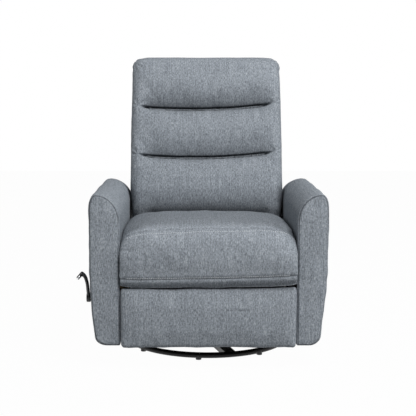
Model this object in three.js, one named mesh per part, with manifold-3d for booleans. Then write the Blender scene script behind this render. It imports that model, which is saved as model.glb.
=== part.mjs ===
// A manual swivel glider recliner: round tube base, ball-bearing swivel, swing-link glider, lever-driven
// footrest linkage, tilting seat and reclining back, with upholstered arms, seat, back and footrest.
//
// Millimetres, +Z up. The sitter looks along -Y. "left" and "right" are as seen from the front: left is -X.
// The chair is laid out about its swivel axis, and the finished group is moved so that the middle of its
// box is at x = y = 0. Side-view places are written (forward of the swivel axis, above the floor).
import * as THREE from 'three';
import { mergeVertices } from 'three/addons/utils/BufferGeometryUtils.js';
import Module from 'manifold-3d';

const wasm = await Module();
wasm.setup();

// Driving sizes
const seatWidth = 582; // clear width between the arms
const armWidth = 101;
const armHeight = 586;
const bodyClearance = 82; // floor to the underside of the arms and the footrest
const armFront = 420; // ahead of the swivel axis
const armRear = 330; // behind the swivel axis
const seatFront = 445;
const seatTop = 479;
const seatDropBottom = 285; // lower edge of the seat's front face
const backTop = 1042;
const backRake = 14; // degrees

// Clearances
const softGap = 1.5; // between an upholstered piece and its neighbour
const faceGap = 0.3; // between faces that touch
const pinClearance = 0.1; // radial, between a pin and its hole
const layerGap = 1; // between steel layers that turn beside each other
const overrun = 5; // how far a cutting tool runs past what it cuts

// Base
const ringRadius = 290;
const ringTube = 20;
const footHeight = 5;
const footRadius = 10;
const footCount = 8;
const firstFootAngle = -6.3; // degrees from straight ahead
const crossWidth = 38;
const crossHeight = 19;
const crossAngle = 15.6; // degrees from straight ahead
const hubPlateSide = 190;
const hubPlateThickness = 5;
const raceInnerRadius = 46;
const raceOuterRadius = 74;
const raceHeight = 7;
const raceLip = 3; // step of each race where the balls run
const swivelPlateWidth = 262;
const swivelPlateDepth = 200;
const swivelPlateThickness = 5;
const boltRadius = 6;
const boltHeadRadius = 11;
const boltHeadHeight = 6;
const boltTail = 8; // below the hub plate, inside the crossing

// Glider
const linkLength = 90;
const lowerPivotHeight = 75;
const linkHalfSpan = 120; // swivel axis to the front and rear link pivots
const linkRadius = 12;
const linkThickness = 4;
const glidePinRadius = 5;
const cradleThickness = 3;
const cradleX = 150;
const cradleFootReach = 52;
const cradleFootHalfDepth = 92;
const cradleShoulder = 45; // from the upper pivots down to the middle of the cradle plate
const cradleHorn = 16; // plate left round each upper pivot
const carrierThickness = 3;
const carrierHeight = 47;
const carrierFlange = 24;
const carrierOverhang = 17; // past the spreader tubes
const spreaderOffset = 190;
const spreaderSide = 25;
const spreaderWall = 2;

// Side plates of the mechanism
const mechInset = 27; // from the arm's inner side
const plateThickness = 3;
const layerPitch = 5; // inner face to inner face of neighbouring linkage layers
const mechPlateBottom = 92;
const mechFlangeRear = 215;
const mechFlangeFront = 300;
const mechSill = 200; // top of the plate between its uprights
const mechMargin = 16; // plate left round the torque tube
const frontUprightWidth = 40;
const rearUprightRadius = 25;

// Footrest linkage, in its closed pose
const linkageDepth = 65; // torque tube to the back of the footrest board
const torqueRise = 146; // torque tube above the lower edge of the footrest
const torqueRadius = 8;
const driveHubWall = 4.5;
const driveAngle = -98; // degrees, of the drive link when closed
const liftAngle = 63; // degrees, of the lift link when closed
const liftRatio = -0.32; // turn of the lift link for each degree of the drive link
const footrestTravel = 88; // degrees of the drive link
const driveToCross = 72; // torque tube to the crossing pivot
const crossToFront = 58; // crossing pivot to the drive link's front pivot
const crossToTop = 140; // crossing pivot to the lift link's top pivot
const crossToTail = 48; // crossing pivot to the follower pin
const barRadius = 9;
const linkPinRadius = 4.5;
const slotClearance = 1;
const slotWall = 6; // plate left in front of the slot
const slotSteps = 12;

// Footrest
const footrestFront = 440;
const footrestGap = 4; // to the seat's front face above it
const footrestPadDepth = 30;
const footrestBoardThickness = 12;
const footrestBoardInset = 18;
const footrestFootWidth = 26;
const footrestEdgeRadius = 14;
const footrestDepthShares = [0, 0.3, 0.62, 0.86, 0.97, 1]; // loops of the pad, of its depth
const footrestSizeShares = [0.985, 1, 0.995, 0.95, 0.8, 0.5]; // and how full each one is
const footrestCornerSteps = 5;

// Lever
const leverHubRadius = 16;
const leverHubThickness = 13;
const leverStandoff = 4; // arm side to the lever hub
const leverWidth = 17;
const leverDepth = 11;
const leverOut = 23;
const leverForward = 64;
const leverRise = 91;
const leverPathShares = [ // of the lever's reach outward, forward and up
  [0, 0, 0], [0, 0.3, 0.32], [0.04, 0.58, 0.64], [0.26, 0.8, 0.89], [0.65, 0.92, 1], [1, 1, 0.92],
];
const leverSteps = 18;
const gripLength = 11;

// Seat
const hingeBack = 175; // behind the swivel axis
const hingeHeight = 300;
const hingePinRadius = 6;
const hingeBoss = 12; // bracket left round the hinge pin
const seatBracketDrop = 33;
const seatBracketSetback = 13; // behind the torque tube
const seatRailWidth = 32;
const seatRailHeight = 35;
const seatFrontRailDepth = 18;
const seatFrontRailRaise = 5; // above the lower edge of the seat's front face
const seatRearRailDepth = 20;
const seatRearInset = 17; // cushion's rear edge to the rear rail
const springWire = 4;
const springWidth = 46;
const springPitch = 26;
const springOffset = 95;
const seatDropThickness = 25;
const seatShoulderWidth = 74;
const seatShoulderDrop = 34;
const seatShoulderPower = 2.4;
const seatCrown = 9; // how far the top falls from the middle to the shoulders
const seatNose = 58; // radius over the front edge
const seatDip = 3; // how much lower the seat is at the back than over its front
const seatRearRound = 18;
const seatDropRound = 12;
const seatEdgeInset = 8; // how far the cushion's front and lower edges draw in at the arms
const seatBelly = 5; // how far the front face bulges
const seatStations = 20;

// Back
const backTopNarrowing = 7;
const backPostDepth = 30;
const backPostWidth = 26;
const backPostBottom = 60; // above the hinge, along the back
const backBracketLength = 330;
const backBracketRadius = 14;
const backPadBottom = 62; // above the hinge, along the back
const backPadDepth = 122; // front of the frame to the crown of the lowest roll
const backTopThinning = 24;
const backTopWall = 42; // padding above the frame
const backCrownForward = 49; // the pad's highest line is this far ahead of the hinge, square to the back
const backPanelThickness = 6;
const backChannelDepth = 30;
const backChannelShares = [0.418, 0.693]; // of the pad's height, from its lower edge
const backRollShares = [0.05, 0.16, 0.32, 0.5, 0.68, 0.84, 0.95]; // loops of one roll, of its height
const backEndDipShare = 0.35; // how much of the channel's depth the pad's ends fall back
const backChannelStartShare = 0.68; // of the half width, where a channel begins to die out
const backChannelEndShare = 0.93; // of the half width, where it is gone
const backChannelLift = 19; // how much higher a channel's ends are than its middle
const backEdgeRadius = 44;
const backBottomDraw = 15;
const backSideRound = 40;
const backRearDrawShare = 0.4; // of the edge's rounding, on the rear side
const backAcross = 16;

// Arms
const armWallInner = 12;
const armWallOuter = 25;
const armWallFront = 25;
const armInnerDrop = 86; // height of the rounding from the crest to the inner wall
const armOuterDrop = 40; // height of the rounding from the crest to the outer wall
const armCrestShare = 0.76; // of the arm's width, where its top is highest
const armFootRadius = 36;
const armTaper = 21; // how much narrower the arm is at its foot
const armTaperTop = 350;
const armTaperPower = 1.6;
const armRearDrop = 27; // how much lower the crest is at the rear end
const armDropStart = 60; // behind the swivel axis, where the crest begins to fall
const armFrontRound = 9;
const armRearRound = 22;
const armRoundAngles = [0, 35, 65, 90]; // degrees round each end's edge
const armPanelThickness = 18;
const armPanelDrop = 106; // from the crest to the top of the plywood panel
const armOpenTop = 300; // the inner side is open to the mechanism below this height
const leverHoleRadius = 13;

// Rear skirt
const skirtThickness = 8;
const skirtTop = 366;

const roundSides = 16;
const halfTurn = Math.PI;
const quarterTurn = halfTurn / 2;
const fullTurn = 2 * halfTurn;
const radians = THREE.MathUtils.degToRad;
const lerp = THREE.MathUtils.lerp;

// Finishes
const upholstery = new THREE.MeshStandardMaterial({ color: 0x7d8791, roughness: 0.95, metalness: 0 });
const blackSteel = new THREE.MeshStandardMaterial({ color: 0x151515, roughness: 0.4, metalness: 0.6 });
const zincSteel = new THREE.MeshStandardMaterial({ color: 0xa9adb0, roughness: 0.35, metalness: 0.9 });
const plywood = new THREE.MeshStandardMaterial({ color: 0xc8a878, roughness: 0.8, metalness: 0 });
const blackPlastic = new THREE.MeshStandardMaterial({ color: 0x1b1b1c, roughness: 0.5, metalness: 0 });
const brightTrim = new THREE.MeshStandardMaterial({ color: 0xc9cbcc, roughness: 0.2, metalness: 1 });

// Turns a closed geometry into a manifold-3d solid.
function solid(geometry) {
  const bare = new THREE.BufferGeometry();
  bare.setAttribute('position', geometry.getAttribute('position').clone());
  if (geometry.index) bare.setIndex(geometry.index.clone());
  const merged = mergeVertices(bare, 1e-3);
  return new wasm.Manifold(new wasm.Mesh({
    numProp: 3,
    vertProperties: new Float32Array(merged.attributes.position.array),
    triVerts: new Uint32Array(merged.index.array),
  }));
}

// Turns a manifold-3d solid back into a geometry.
function geometryOf(body) {
  const mesh = body.getMesh();
  const geometry = new THREE.BufferGeometry();
  const places = new Float32Array(mesh.numVert * 3);
  for (let i = 0; i < mesh.numVert; i += 1) {
    places.set(mesh.vertProperties.subarray(i * mesh.numProp, i * mesh.numProp + 3), i * 3);
  }
  geometry.setAttribute('position', new THREE.BufferAttribute(places, 3));
  geometry.setIndex(new THREE.BufferAttribute(mesh.triVerts, 1));
  geometry.computeVertexNormals();
  return geometry;
}

// Joins the geometries in `add` to the first one and takes those in `cut` away.
function combine(first, add, cut) {
  let body = solid(first);
  for (const piece of add) body = body.add(solid(piece));
  for (const piece of cut) body = body.subtract(solid(piece));
  return geometryOf(body);
}

// A box between two places on each axis.
function block(x0, x1, y0, y1, z0, z1) {
  const geometry = new THREE.BoxGeometry(x1 - x0, y1 - y0, z1 - z0);
  return geometry.translate((x0 + x1) / 2, (y0 + y1) / 2, (z0 + z1) / 2);
}

// A cylinder along X, between two places on it, round a side-view point.
function rodX(radius, x0, x1, point) {
  const geometry = new THREE.CylinderGeometry(radius, radius, x1 - x0, roundSides);
  return geometry.rotateZ(quarterTurn).translate((x0 + x1) / 2, -point.x, point.y);
}

// A cylinder along Z, between two heights, at x, y.
function rodZ(radius, z0, z1, x, y) {
  const geometry = new THREE.CylinderGeometry(radius, radius, z1 - z0, roundSides);
  return geometry.rotateX(quarterTurn).translate(x, y, (z0 + z1) / 2);
}

// The corner radius of a hole with flat sides that clears a pin of this radius.
function holeRadius(pinRadius, clearance = pinClearance) {
  return (pinRadius + clearance) / Math.cos(halfTurn / roundSides);
}

// Sets a side-view shape upright, as a plate from x0 to x1.
function plate(shape, x0, x1) {
  const options = { depth: x1 - x0, bevelEnabled: false, curveSegments: 6 };
  const geometry = new THREE.ExtrudeGeometry(shape, options);
  const upright = new THREE.Matrix4().makeBasis(
    new THREE.Vector3(0, -1, 0),
    new THREE.Vector3(0, 0, 1),
    new THREE.Vector3(-1, 0, 0),
  );
  return geometry.applyMatrix4(upright).translate(x1, 0, 0);
}

// A round-ended bar between two side-view points.
function barShape(a, b, radius) {
  const angle = Math.atan2(b.y - a.y, b.x - a.x);
  const shape = new THREE.Shape();
  shape.absarc(a.x, a.y, radius, angle + quarterTurn, angle + halfTurn + quarterTurn, false);
  shape.absarc(b.x, b.y, radius, angle - quarterTurn, angle + quarterTurn, false);
  shape.closePath();
  return shape;
}

function polygon(points) {
  return new THREE.Shape(points.map(([forward, height]) => new THREE.Vector2(forward, height)));
}

// The point at a distance and an angle from another one.
function polar(origin, length, degrees) {
  return new THREE.Vector2(
    origin.x + length * Math.cos(radians(degrees)),
    origin.y + length * Math.sin(radians(degrees)),
  );
}

// A closed skin through a stack of loops that have equally many points. The loops run anticlockwise when
// seen from the end of the stack, and a fan closes each end.
function skin(loops) {
  const count = loops[0].length;
  const places = loops.flat().flatMap((point) => [point.x, point.y, point.z]);
  const faces = [];
  for (let ring = 0; ring + 1 < loops.length; ring += 1) {
    for (let i = 0; i < count; i += 1) {
      const a = ring * count + i;
      const b = ring * count + ((i + 1) % count);
      faces.push(a, b, b + count, a, b + count, a + count);
    }
  }
  for (const ring of [0, loops.length - 1]) {
    const middle = new THREE.Vector3();
    for (const point of loops[ring]) middle.addScaledVector(point, 1 / count);
    const centre = places.length / 3;
    places.push(middle.x, middle.y, middle.z);
    for (let i = 0; i < count; i += 1) {
      const a = ring * count + i;
      const b = ring * count + ((i + 1) % count);
      faces.push(...(ring === 0 ? [centre, b, a] : [centre, a, b]));
    }
  }
  const geometry = new THREE.BufferGeometry();
  geometry.setAttribute('position', new THREE.Float32BufferAttribute(places, 3));
  geometry.setIndex(faces);
  return geometry;
}

// Rises smoothly from 0 to 1 as value goes from low to high.
function ease(value, low, high) {
  const share = THREE.MathUtils.clamp((value - low) / (high - low), 0, 1);
  return share * share * (3 - 2 * share);
}

// How far a rounded edge of this radius draws in at a distance from its end.
function edgeDraw(distance, radius) {
  const rest = Math.max(0, radius - distance);
  return radius - Math.sqrt(radius ** 2 - rest ** 2);
}

const chair = new THREE.Group();

function piece(name, geometry, material, parent = chair) {
  const mesh = new THREE.Mesh(geometry, material);
  mesh.name = name;
  parent.add(mesh);
}

// A piece built for the right side goes into the mirrored group to make the left one.
function pairOfSides(parent) {
  return ['right', 'left'].map((name) => {
    const group = new THREE.Group();
    group.scale.x = name === 'right' ? 1 : -1;
    parent.add(group);
    return { name, group };
  });
}
const sides = pairOfSides(chair);

// Base: a tube ring on eight feet, a coped cross and the hub
const ringHeight = footHeight + ringTube / 2;
const crossTop = ringHeight + crossHeight / 2;
const hubTop = crossTop + faceGap + hubPlateThickness;
const lowerRaceTop = hubTop + faceGap + raceHeight;
const upperRaceTop = lowerRaceTop + faceGap + raceHeight;
const swivelPlateTop = upperRaceTop + faceGap + swivelPlateThickness;
const boltHole = rodZ(holeRadius(boltRadius), 0, swivelPlateTop + overrun, 0, 0);

function ringGeometry(tubeRadius) {
  return new THREE.TorusGeometry(ringRadius, tubeRadius, 12, 64).translate(0, 0, ringHeight);
}

function makeBase() {
  piece('base_ring', ringGeometry(ringTube / 2), blackSteel);
  const ringClearance = ringGeometry(ringTube / 2 + faceGap);
  const bar = () => new THREE.BoxGeometry(crossWidth, 2 * ringRadius, crossHeight);
  const cross = combine(bar(), [bar().rotateZ(quarterTurn)], [])
    .rotateZ(radians(crossAngle))
    .translate(0, 0, ringHeight);
  piece('base_cross', combine(cross, [], [ringClearance, boltHole]), blackSteel);
  for (let i = 0; i < footCount; i += 1) {
    const angle = radians(firstFootAngle) + (i * fullTurn) / footCount;
    const post = rodZ(
      footRadius, 0, ringHeight - faceGap, ringRadius * Math.sin(angle), -ringRadius * Math.cos(angle),
    );
    piece(`glide_foot_${i + 1}`, combine(post, [], [ringClearance]), blackPlastic);
  }
  const hubHalf = hubPlateSide / 2;
  const hub = block(-hubHalf, hubHalf, -hubHalf, hubHalf, crossTop + faceGap, hubTop);
  piece('hub_plate', combine(hub, [], [boltHole]), zincSteel);
}

// A ring turned from a closed outline of (radius, height) points.
function turned(points) {
  const outline = points.map(([radius, height]) => new THREE.Vector2(radius, height));
  return new THREE.LatheGeometry(outline, 32).rotateX(quarterTurn);
}

function makeSwivel() {
  const middle = (raceInnerRadius + raceOuterRadius) / 2;
  const lowerBottom = hubTop + faceGap;
  piece('bearing_race_lower', turned([
    [raceInnerRadius, lowerBottom], [raceOuterRadius, lowerBottom],
    [raceOuterRadius, lowerRaceTop - raceLip], [middle, lowerRaceTop - raceLip],
    [middle, lowerRaceTop], [raceInnerRadius, lowerRaceTop], [raceInnerRadius, lowerBottom],
  ]), zincSteel);
  const upperBottom = lowerRaceTop + faceGap;
  const lipBottom = upperBottom - raceLip;
  piece('bearing_race_upper', turned([
    [middle + faceGap, lipBottom], [raceOuterRadius, lipBottom], [raceOuterRadius, upperRaceTop],
    [raceInnerRadius, upperRaceTop], [raceInnerRadius, upperBottom], [middle + faceGap, upperBottom],
    [middle + faceGap, lipBottom],
  ]), zincSteel);
  const halfWidth = swivelPlateWidth / 2;
  const halfDepth = swivelPlateDepth / 2;
  const topPlate = block(
    -halfWidth, halfWidth, -halfDepth, halfDepth, upperRaceTop + faceGap, swivelPlateTop,
  );
  piece('swivel_plate', combine(topPlate, [], [boltHole]), zincSteel);
  const headBottom = swivelPlateTop + faceGap;
  const head = new THREE.CylinderGeometry(boltHeadRadius, boltHeadRadius, boltHeadHeight, 6)
    .rotateX(quarterTurn)
    .translate(0, 0, headBottom + boltHeadHeight / 2);
  const shank = rodZ(boltRadius, crossTop + faceGap - boltTail, headBottom + boltHeadHeight / 2, 0, 0);
  piece('swivel_bolt', combine(shank, [head], []), zincSteel);
}

// Glider: the cradle stands on the swivel plate, four links hang from it, and the carriers hang from them
const upperPivotHeight = lowerPivotHeight + linkLength;
const linkX = cradleX + cradleThickness + layerGap;
const carrierX = linkX + linkThickness + 2 * layerGap;
const carrierBottom = lowerPivotHeight - linkRadius - faceGap;
const carrierTop = carrierBottom + carrierHeight;
const glideEnds = [['front', linkHalfSpan], ['rear', -linkHalfSpan]];

// The right cradle: a plate with a horn at each upper pivot, a foot on the swivel plate, and two pins
function cradleGeometry() {
  const bottom = swivelPlateTop + faceGap;
  const hornTop = upperPivotHeight + cradleHorn;
  const hornOuter = linkHalfSpan + cradleHorn;
  const hornInner = linkHalfSpan - cradleHorn;
  const waist = upperPivotHeight - cradleShoulder;
  const shape = polygon([
    [-hornOuter, bottom], [hornOuter, bottom], [hornOuter, hornTop], [hornInner, hornTop],
    [hornInner - cradleHorn, waist], [cradleHorn - hornInner, waist],
    [-hornInner, hornTop], [-hornOuter, hornTop],
  ]);
  const middle = cradleX + cradleThickness / 2;
  const foot = block(
    middle - cradleFootReach, middle, -cradleFootHalfDepth, cradleFootHalfDepth,
    bottom, bottom + cradleThickness,
  );
  const pins = glideEnds.map(([, forward]) => rodX(
    glidePinRadius, middle, linkX + linkThickness + layerGap / 2,
    new THREE.Vector2(forward, upperPivotHeight),
  ));
  return combine(plate(shape, cradleX, cradleX + cradleThickness), [foot, ...pins], []);
}

// The right carrier: an upright plate with a flange under the spreader tubes, and two pins
function carrierGeometry() {
  const reach = spreaderOffset + carrierOverhang;
  const wall = block(carrierX, carrierX + carrierThickness, -reach, reach, carrierBottom, carrierTop);
  const flange = block(
    carrierX, carrierX + carrierFlange, -reach, reach, carrierTop - carrierThickness, carrierTop,
  );
  const pins = glideEnds.map(([, forward]) => rodX(
    glidePinRadius, linkX - layerGap / 2, carrierX + carrierThickness / 2,
    new THREE.Vector2(forward, lowerPivotHeight),
  ));
  return combine(wall, [flange, ...pins], []);
}

function makeGlider() {
  for (const { name, group } of sides) {
    piece(`cradle_${name}`, cradleGeometry(), blackSteel, group);
    piece(`carrier_${name}`, carrierGeometry(), blackSteel, group);
    for (const [end, forward] of glideEnds) {
      const top = new THREE.Vector2(forward, upperPivotHeight);
      const bottom = new THREE.Vector2(forward, lowerPivotHeight);
      const holes = [top, bottom].map((point) => rodX(
        holeRadius(glidePinRadius), linkX - overrun, linkX + linkThickness + overrun, point,
      ));
      const bar = plate(barShape(bottom, top, linkRadius), linkX, linkX + linkThickness);
      piece(`glide_link_${end}_${name}`, combine(bar, [], holes), zincSteel, group);
    }
  }
}

// Places across the chair
const armInner = seatWidth / 2;
const armOuter = armInner + armWidth;
const armPanelX = armInner + armWallInner;
const cushionHalf = armInner - softGap;
const mechPlateX = armInner - mechInset;
const driveLayer = mechPlateX - layerPitch;
const liftLayer = driveLayer - layerPitch;
const seatBracketX = mechPlateX + layerPitch;

// Side-view places of the footrest and its linkage in the closed pose
const footrestBottom = bodyClearance;
const footrestTop = seatDropBottom - footrestGap;
const padRear = footrestFront - footrestPadDepth;
const boardRear = padRear - faceGap - footrestBoardThickness;
const torque = new THREE.Vector2(boardRear - linkageDepth, footrestBottom + torqueRise);
const crossing = polar(torque, driveToCross, driveAngle);
const frontPivot = polar(torque, driveToCross + crossToFront, driveAngle);
const topPivot = polar(crossing, crossToTop, liftAngle);
const followerPin = polar(crossing, -crossToTail, liftAngle);
const padPivot = polar(frontPivot, crossToTop, liftAngle);

// Side-view places of the back's hinge and of the seat frame on it
const hinge = new THREE.Vector2(-hingeBack, hingeHeight);
const uprightTop = hingeHeight + 2 * rearUprightRadius - plateThickness;
const seatFlangeBottom = uprightTop + faceGap;
const seatFlangeTop = seatFlangeBottom + plateThickness;
const railBottom = seatFlangeTop + faceGap;
const railTop = railBottom + seatRailHeight;
const railOuter = mechPlateX - layerGap;
const railInner = railOuter - seatRailWidth;
const dropInner = seatFront - seatDropThickness;
const railFront = dropInner - faceGap - seatFrontRailDepth;

// The furthest place of the back pad's lowest roll decides where the seat ends.
const rake = radians(backRake);
const backPadTop = (backTop - hingeHeight - backCrownForward * Math.sin(rake)) / Math.cos(rake);
const rollReach = Math.max(...backRollShares.map((share) => {
  const up = share * backChannelShares[0];
  const along = lerp(backPadBottom, backPadTop, up);
  return backFront(up, backChannelEndShare) * Math.cos(rake) - along * Math.sin(rake);
}));
const seatRear = hingeBack - rollReach - softGap;
const railRear = seatRear - seatRearInset;

// Where the follower pin is when the drive link has turned by a share of its travel
function followerPlace(share) {
  const turn = footrestTravel * share;
  const moved = polar(torque, driveToCross, driveAngle + turn);
  return polar(moved, -crossToTail, liftAngle + liftRatio * turn);
}

// The follower pin's path in the side plate, widened to a slot
function followerSlot() {
  const x0 = mechPlateX - overrun;
  const x1 = mechPlateX + plateThickness + overrun;
  const halfWidth = linkPinRadius + slotClearance;
  const path = [];
  for (let i = -1; i <= slotSteps + 1; i += 1) path.push(followerPlace(i / slotSteps));
  const edge = (sign) => path.slice(1, -1).map((point, i) => {
    const along = path[i + 2].clone().sub(path[i]).normalize();
    return [point.x - sign * halfWidth * along.y, point.y + sign * halfWidth * along.x];
  });
  const slot = plate(polygon([...edge(-1), ...edge(1).reverse()]), x0, x1);
  const ends = [path[1], path[path.length - 2]].map((point) => rodX(
    holeRadius(linkPinRadius, slotClearance), x0, x1, point,
  ));
  return [slot, ...ends];
}

// The right side plate: two uprights over a sill, a flange out to the arm, and the pin of the back and seat
function mechPlateGeometry() {
  const front = followerPlace(1).x + linkPinRadius + slotClearance + slotWall;
  const uprightFront = torque.x - mechMargin;
  const uprightRear = uprightFront - frontUprightWidth;
  const shape = polygon([
    [front, mechPlateBottom], [front, torque.y], [torque.x + mechMargin, torque.y + mechMargin],
    [uprightFront, torque.y + mechMargin + torqueRadius], [uprightFront, uprightTop],
    [uprightRear, uprightTop], [uprightRear - frontUprightWidth / 2, mechSill],
    [hinge.x + 2 * rearUprightRadius, mechSill],
    [hinge.x + rearUprightRadius, hinge.y + rearUprightRadius],
    [hinge.x - rearUprightRadius, hinge.y + rearUprightRadius], [-mechFlangeRear, mechPlateBottom],
  ]);
  const flange = block(
    mechPlateX + plateThickness / 2, armPanelX - faceGap, -mechFlangeFront, mechFlangeRear,
    mechPlateBottom, mechPlateBottom + plateThickness,
  );
  const pin = rodX(
    hingePinRadius, driveLayer - layerGap / 2, seatBracketX + plateThickness + layerGap / 2, hinge,
  );
  const torqueHole = rodX(
    holeRadius(torqueRadius), mechPlateX - overrun, mechPlateX + plateThickness + overrun, torque,
  );
  const body = plate(shape, mechPlateX, mechPlateX + plateThickness);
  return combine(body, [flange, pin], [torqueHole, ...followerSlot()]);
}

// Frame: the two side plates, tied by two spreader tubes that lie on the carriers
function makeFrame() {
  for (const { name, group } of sides) {
    piece(`mech_plate_${name}`, mechPlateGeometry(), blackSteel, group);
  }
  const reach = mechPlateX - faceGap;
  const half = spreaderSide / 2;
  const bore = half - spreaderWall;
  const height = carrierTop + faceGap + half;
  for (const [end, forward] of [['front', spreaderOffset], ['rear', -spreaderOffset]]) {
    const tube = block(-reach, reach, -forward - half, -forward + half, height - half, height + half);
    const hollow = block(
      -reach - overrun, reach + overrun, -forward - bore, -forward + bore, height - bore, height + bore,
    );
    piece(`spreader_tube_${end}`, combine(tube, [], [hollow]), blackSteel);
  }
}

// One upright loop of the arm cover, seen from the front: foot, tapering outer wall, crest, and inner wall
function armLoop(y, inset) {
  const fall = Math.max(0, (y - armDropStart) / (armRear - armDropStart));
  const crest = armHeight - armRearDrop * fall ** 2 - inset;
  const crestX = lerp(armInner, armOuter, armCrestShare);
  const inner = armInner + inset;
  const outer = armOuter - inset;
  const bottom = bodyClearance + inset;
  const points = [];
  const arc = (x, z, radiusX, radiusZ, from, to, steps) => {
    for (let i = 0; i <= steps; i += 1) {
      const angle = radians(lerp(from, to, i / steps));
      points.push(new THREE.Vector3(x + radiusX * Math.cos(angle), y, z + radiusZ * Math.sin(angle)));
    }
  };
  points.push(new THREE.Vector3(inner, y, bottom));
  arc(outer - armTaper - armFootRadius, bottom + armFootRadius, armFootRadius, armFootRadius, -90, 0, 4);
  const taperSteps = 4;
  for (let i = 1; i <= taperSteps; i += 1) {
    const share = i / taperSteps;
    const x = outer - armTaper * (1 - share) ** armTaperPower;
    points.push(new THREE.Vector3(x, y, lerp(bottom + armFootRadius, armTaperTop, share)));
  }
  arc(crestX, crest - armOuterDrop, outer - crestX, armOuterDrop, 0, 90, 6);
  arc(crestX, crest - armInnerDrop, crestX - inner, armInnerDrop, 100, 180, 8);
  return points;
}

// The cover's outside, as loops from the rear end to the front, drawn in at both ends
function armForm() {
  const atEdge = (end, radius, towards, degrees) => armLoop(
    end - towards * radius * (1 - Math.sin(radians(degrees))),
    radius * (1 - Math.cos(radians(degrees))),
  );
  const fallSteps = 4;
  const fallStart = armRear - armRearRound;
  const fall = Array.from({ length: fallSteps }, (_, i) => (
    armLoop(lerp(fallStart, armDropStart, (i + 1) / fallSteps), 0)
  ));
  return skin([
    ...armRoundAngles.map((degrees) => atEdge(armRear, armRearRound, 1, 90 - degrees)),
    ...fall,
    ...armRoundAngles.map((degrees) => atEdge(-armFront, armFrontRound, -1, degrees)),
  ]);
}

// Arms: a plywood panel in a padded cover that is open underneath and towards the mechanism, and a skirt
function makeArms() {
  const frontFace = armWallFront - armFront;
  const rearFace = armRear - armWallFront;
  const panelTop = armHeight - armPanelDrop;
  const hollow = block(
    armPanelX - faceGap, armOuter - armWallOuter - armTaper, frontFace, rearFace,
    bodyClearance - overrun, panelTop + faceGap,
  );
  const opening = block(
    armInner - overrun, armPanelX, frontFace, rearFace, bodyClearance - overrun, armOpenTop,
  );
  const panel = block(
    armPanelX, armPanelX + armPanelThickness, frontFace + faceGap, rearFace - faceGap,
    bodyClearance, panelTop,
  );
  const leverHole = rodX(leverHoleRadius, armPanelX - overrun, armOuter + overrun, torque);
  for (const { name, group } of sides) {
    const holes = name === 'left' ? [leverHole] : [];
    piece(`arm_cover_${name}`, combine(armForm(), [], [hollow, opening, ...holes]), upholstery, group);
    piece(`arm_panel_${name}`, combine(panel, [], holes), plywood, group);
  }
  const skirtFront = rearFace - skirtThickness;
  const reach = armPanelX - faceGap;
  const skirt = block(-reach, reach, skirtFront, rearFace - faceGap, bodyClearance, skirtTop);
  const cornerSpans = [[armInner - softGap, armPanelX], [-armPanelX, softGap - armInner]];
  const corners = cornerSpans.map(([x0, x1]) => block(
    x0, x1, skirtFront - overrun, rearFace + overrun, armOpenTop - softGap, skirtTop + overrun,
  ));
  piece('skirt_panel', combine(skirt, [], corners), upholstery);
}

// A hole for a linkage pin through the plate of a layer
function linkHole(point, layer) {
  return rodX(holeRadius(linkPinRadius), layer - overrun, layer + plateThickness + overrun, point);
}

// A pin that stands out of a plate of the drive layer, through the lift layer
function driveLayerPin(point) {
  return rodX(linkPinRadius, liftLayer - layerGap / 2, driveLayer + plateThickness / 2, point);
}

// The bracket that carries the board: an arm between the two pivots, a web down to the board, and a foot
function footrestBracket() {
  const webBottom = footrestBottom + footrestBoardInset;
  const webFront = boardRear - faceGap;
  const arm = plate(barShape(topPivot, padPivot, barRadius), driveLayer, driveLayer + plateThickness);
  const web = plate(polygon([
    [padPivot.x, padPivot.y + barRadius], [padPivot.x - barRadius, padPivot.y - barRadius],
    [webFront, webBottom], [webFront, padPivot.y + barRadius],
  ]), driveLayer, driveLayer + plateThickness);
  const foot = block(
    driveLayer - footrestFootWidth, driveLayer + plateThickness, -webFront, plateThickness - webFront,
    webBottom, padPivot.y - barRadius,
  );
  return combine(arm, [web, foot, driveLayerPin(topPivot), driveLayerPin(padPivot)], []);
}

// Footrest linkage: drive links on the torque tube, lift links guided by the slots, and front links
function makeLinkage() {
  const driveHub = rodX(torqueRadius + driveHubWall, driveLayer, driveLayer + plateThickness, torque);
  const driveBore = rodX(
    holeRadius(torqueRadius, faceGap), driveLayer - overrun, driveLayer + plateThickness + overrun, torque,
  );
  const follower = rodX(
    linkPinRadius, liftLayer + plateThickness / 2, mechPlateX + plateThickness + layerGap / 2, followerPin,
  );
  for (const { name, group } of sides) {
    const drive = plate(barShape(torque, frontPivot, barRadius), driveLayer, driveLayer + plateThickness);
    const driveParts = [driveHub, driveLayerPin(crossing), driveLayerPin(frontPivot)];
    piece(`footrest_drive_link_${name}`, combine(drive, driveParts, [driveBore]), zincSteel, group);
    const lift = plate(barShape(followerPin, topPivot, barRadius), liftLayer, liftLayer + plateThickness);
    const liftHoles = [linkHole(crossing, liftLayer), linkHole(topPivot, liftLayer)];
    piece(`footrest_lift_link_${name}`, combine(lift, [follower], liftHoles), zincSteel, group);
    const front = plate(barShape(frontPivot, padPivot, barRadius), liftLayer, liftLayer + plateThickness);
    const frontHoles = [linkHole(frontPivot, liftLayer), linkHole(padPivot, liftLayer)];
    piece(`footrest_front_link_${name}`, combine(front, [], frontHoles), zincSteel, group);
    piece(`footrest_bracket_${name}`, footrestBracket(), blackSteel, group);
  }
  const tubeRight = mechPlateX + plateThickness + layerGap;
  const tubeLeft = armOuter + leverStandoff - faceGap;
  piece('torque_tube', rodX(torqueRadius, -tubeLeft, tubeRight, torque), zincSteel);
}

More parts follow.
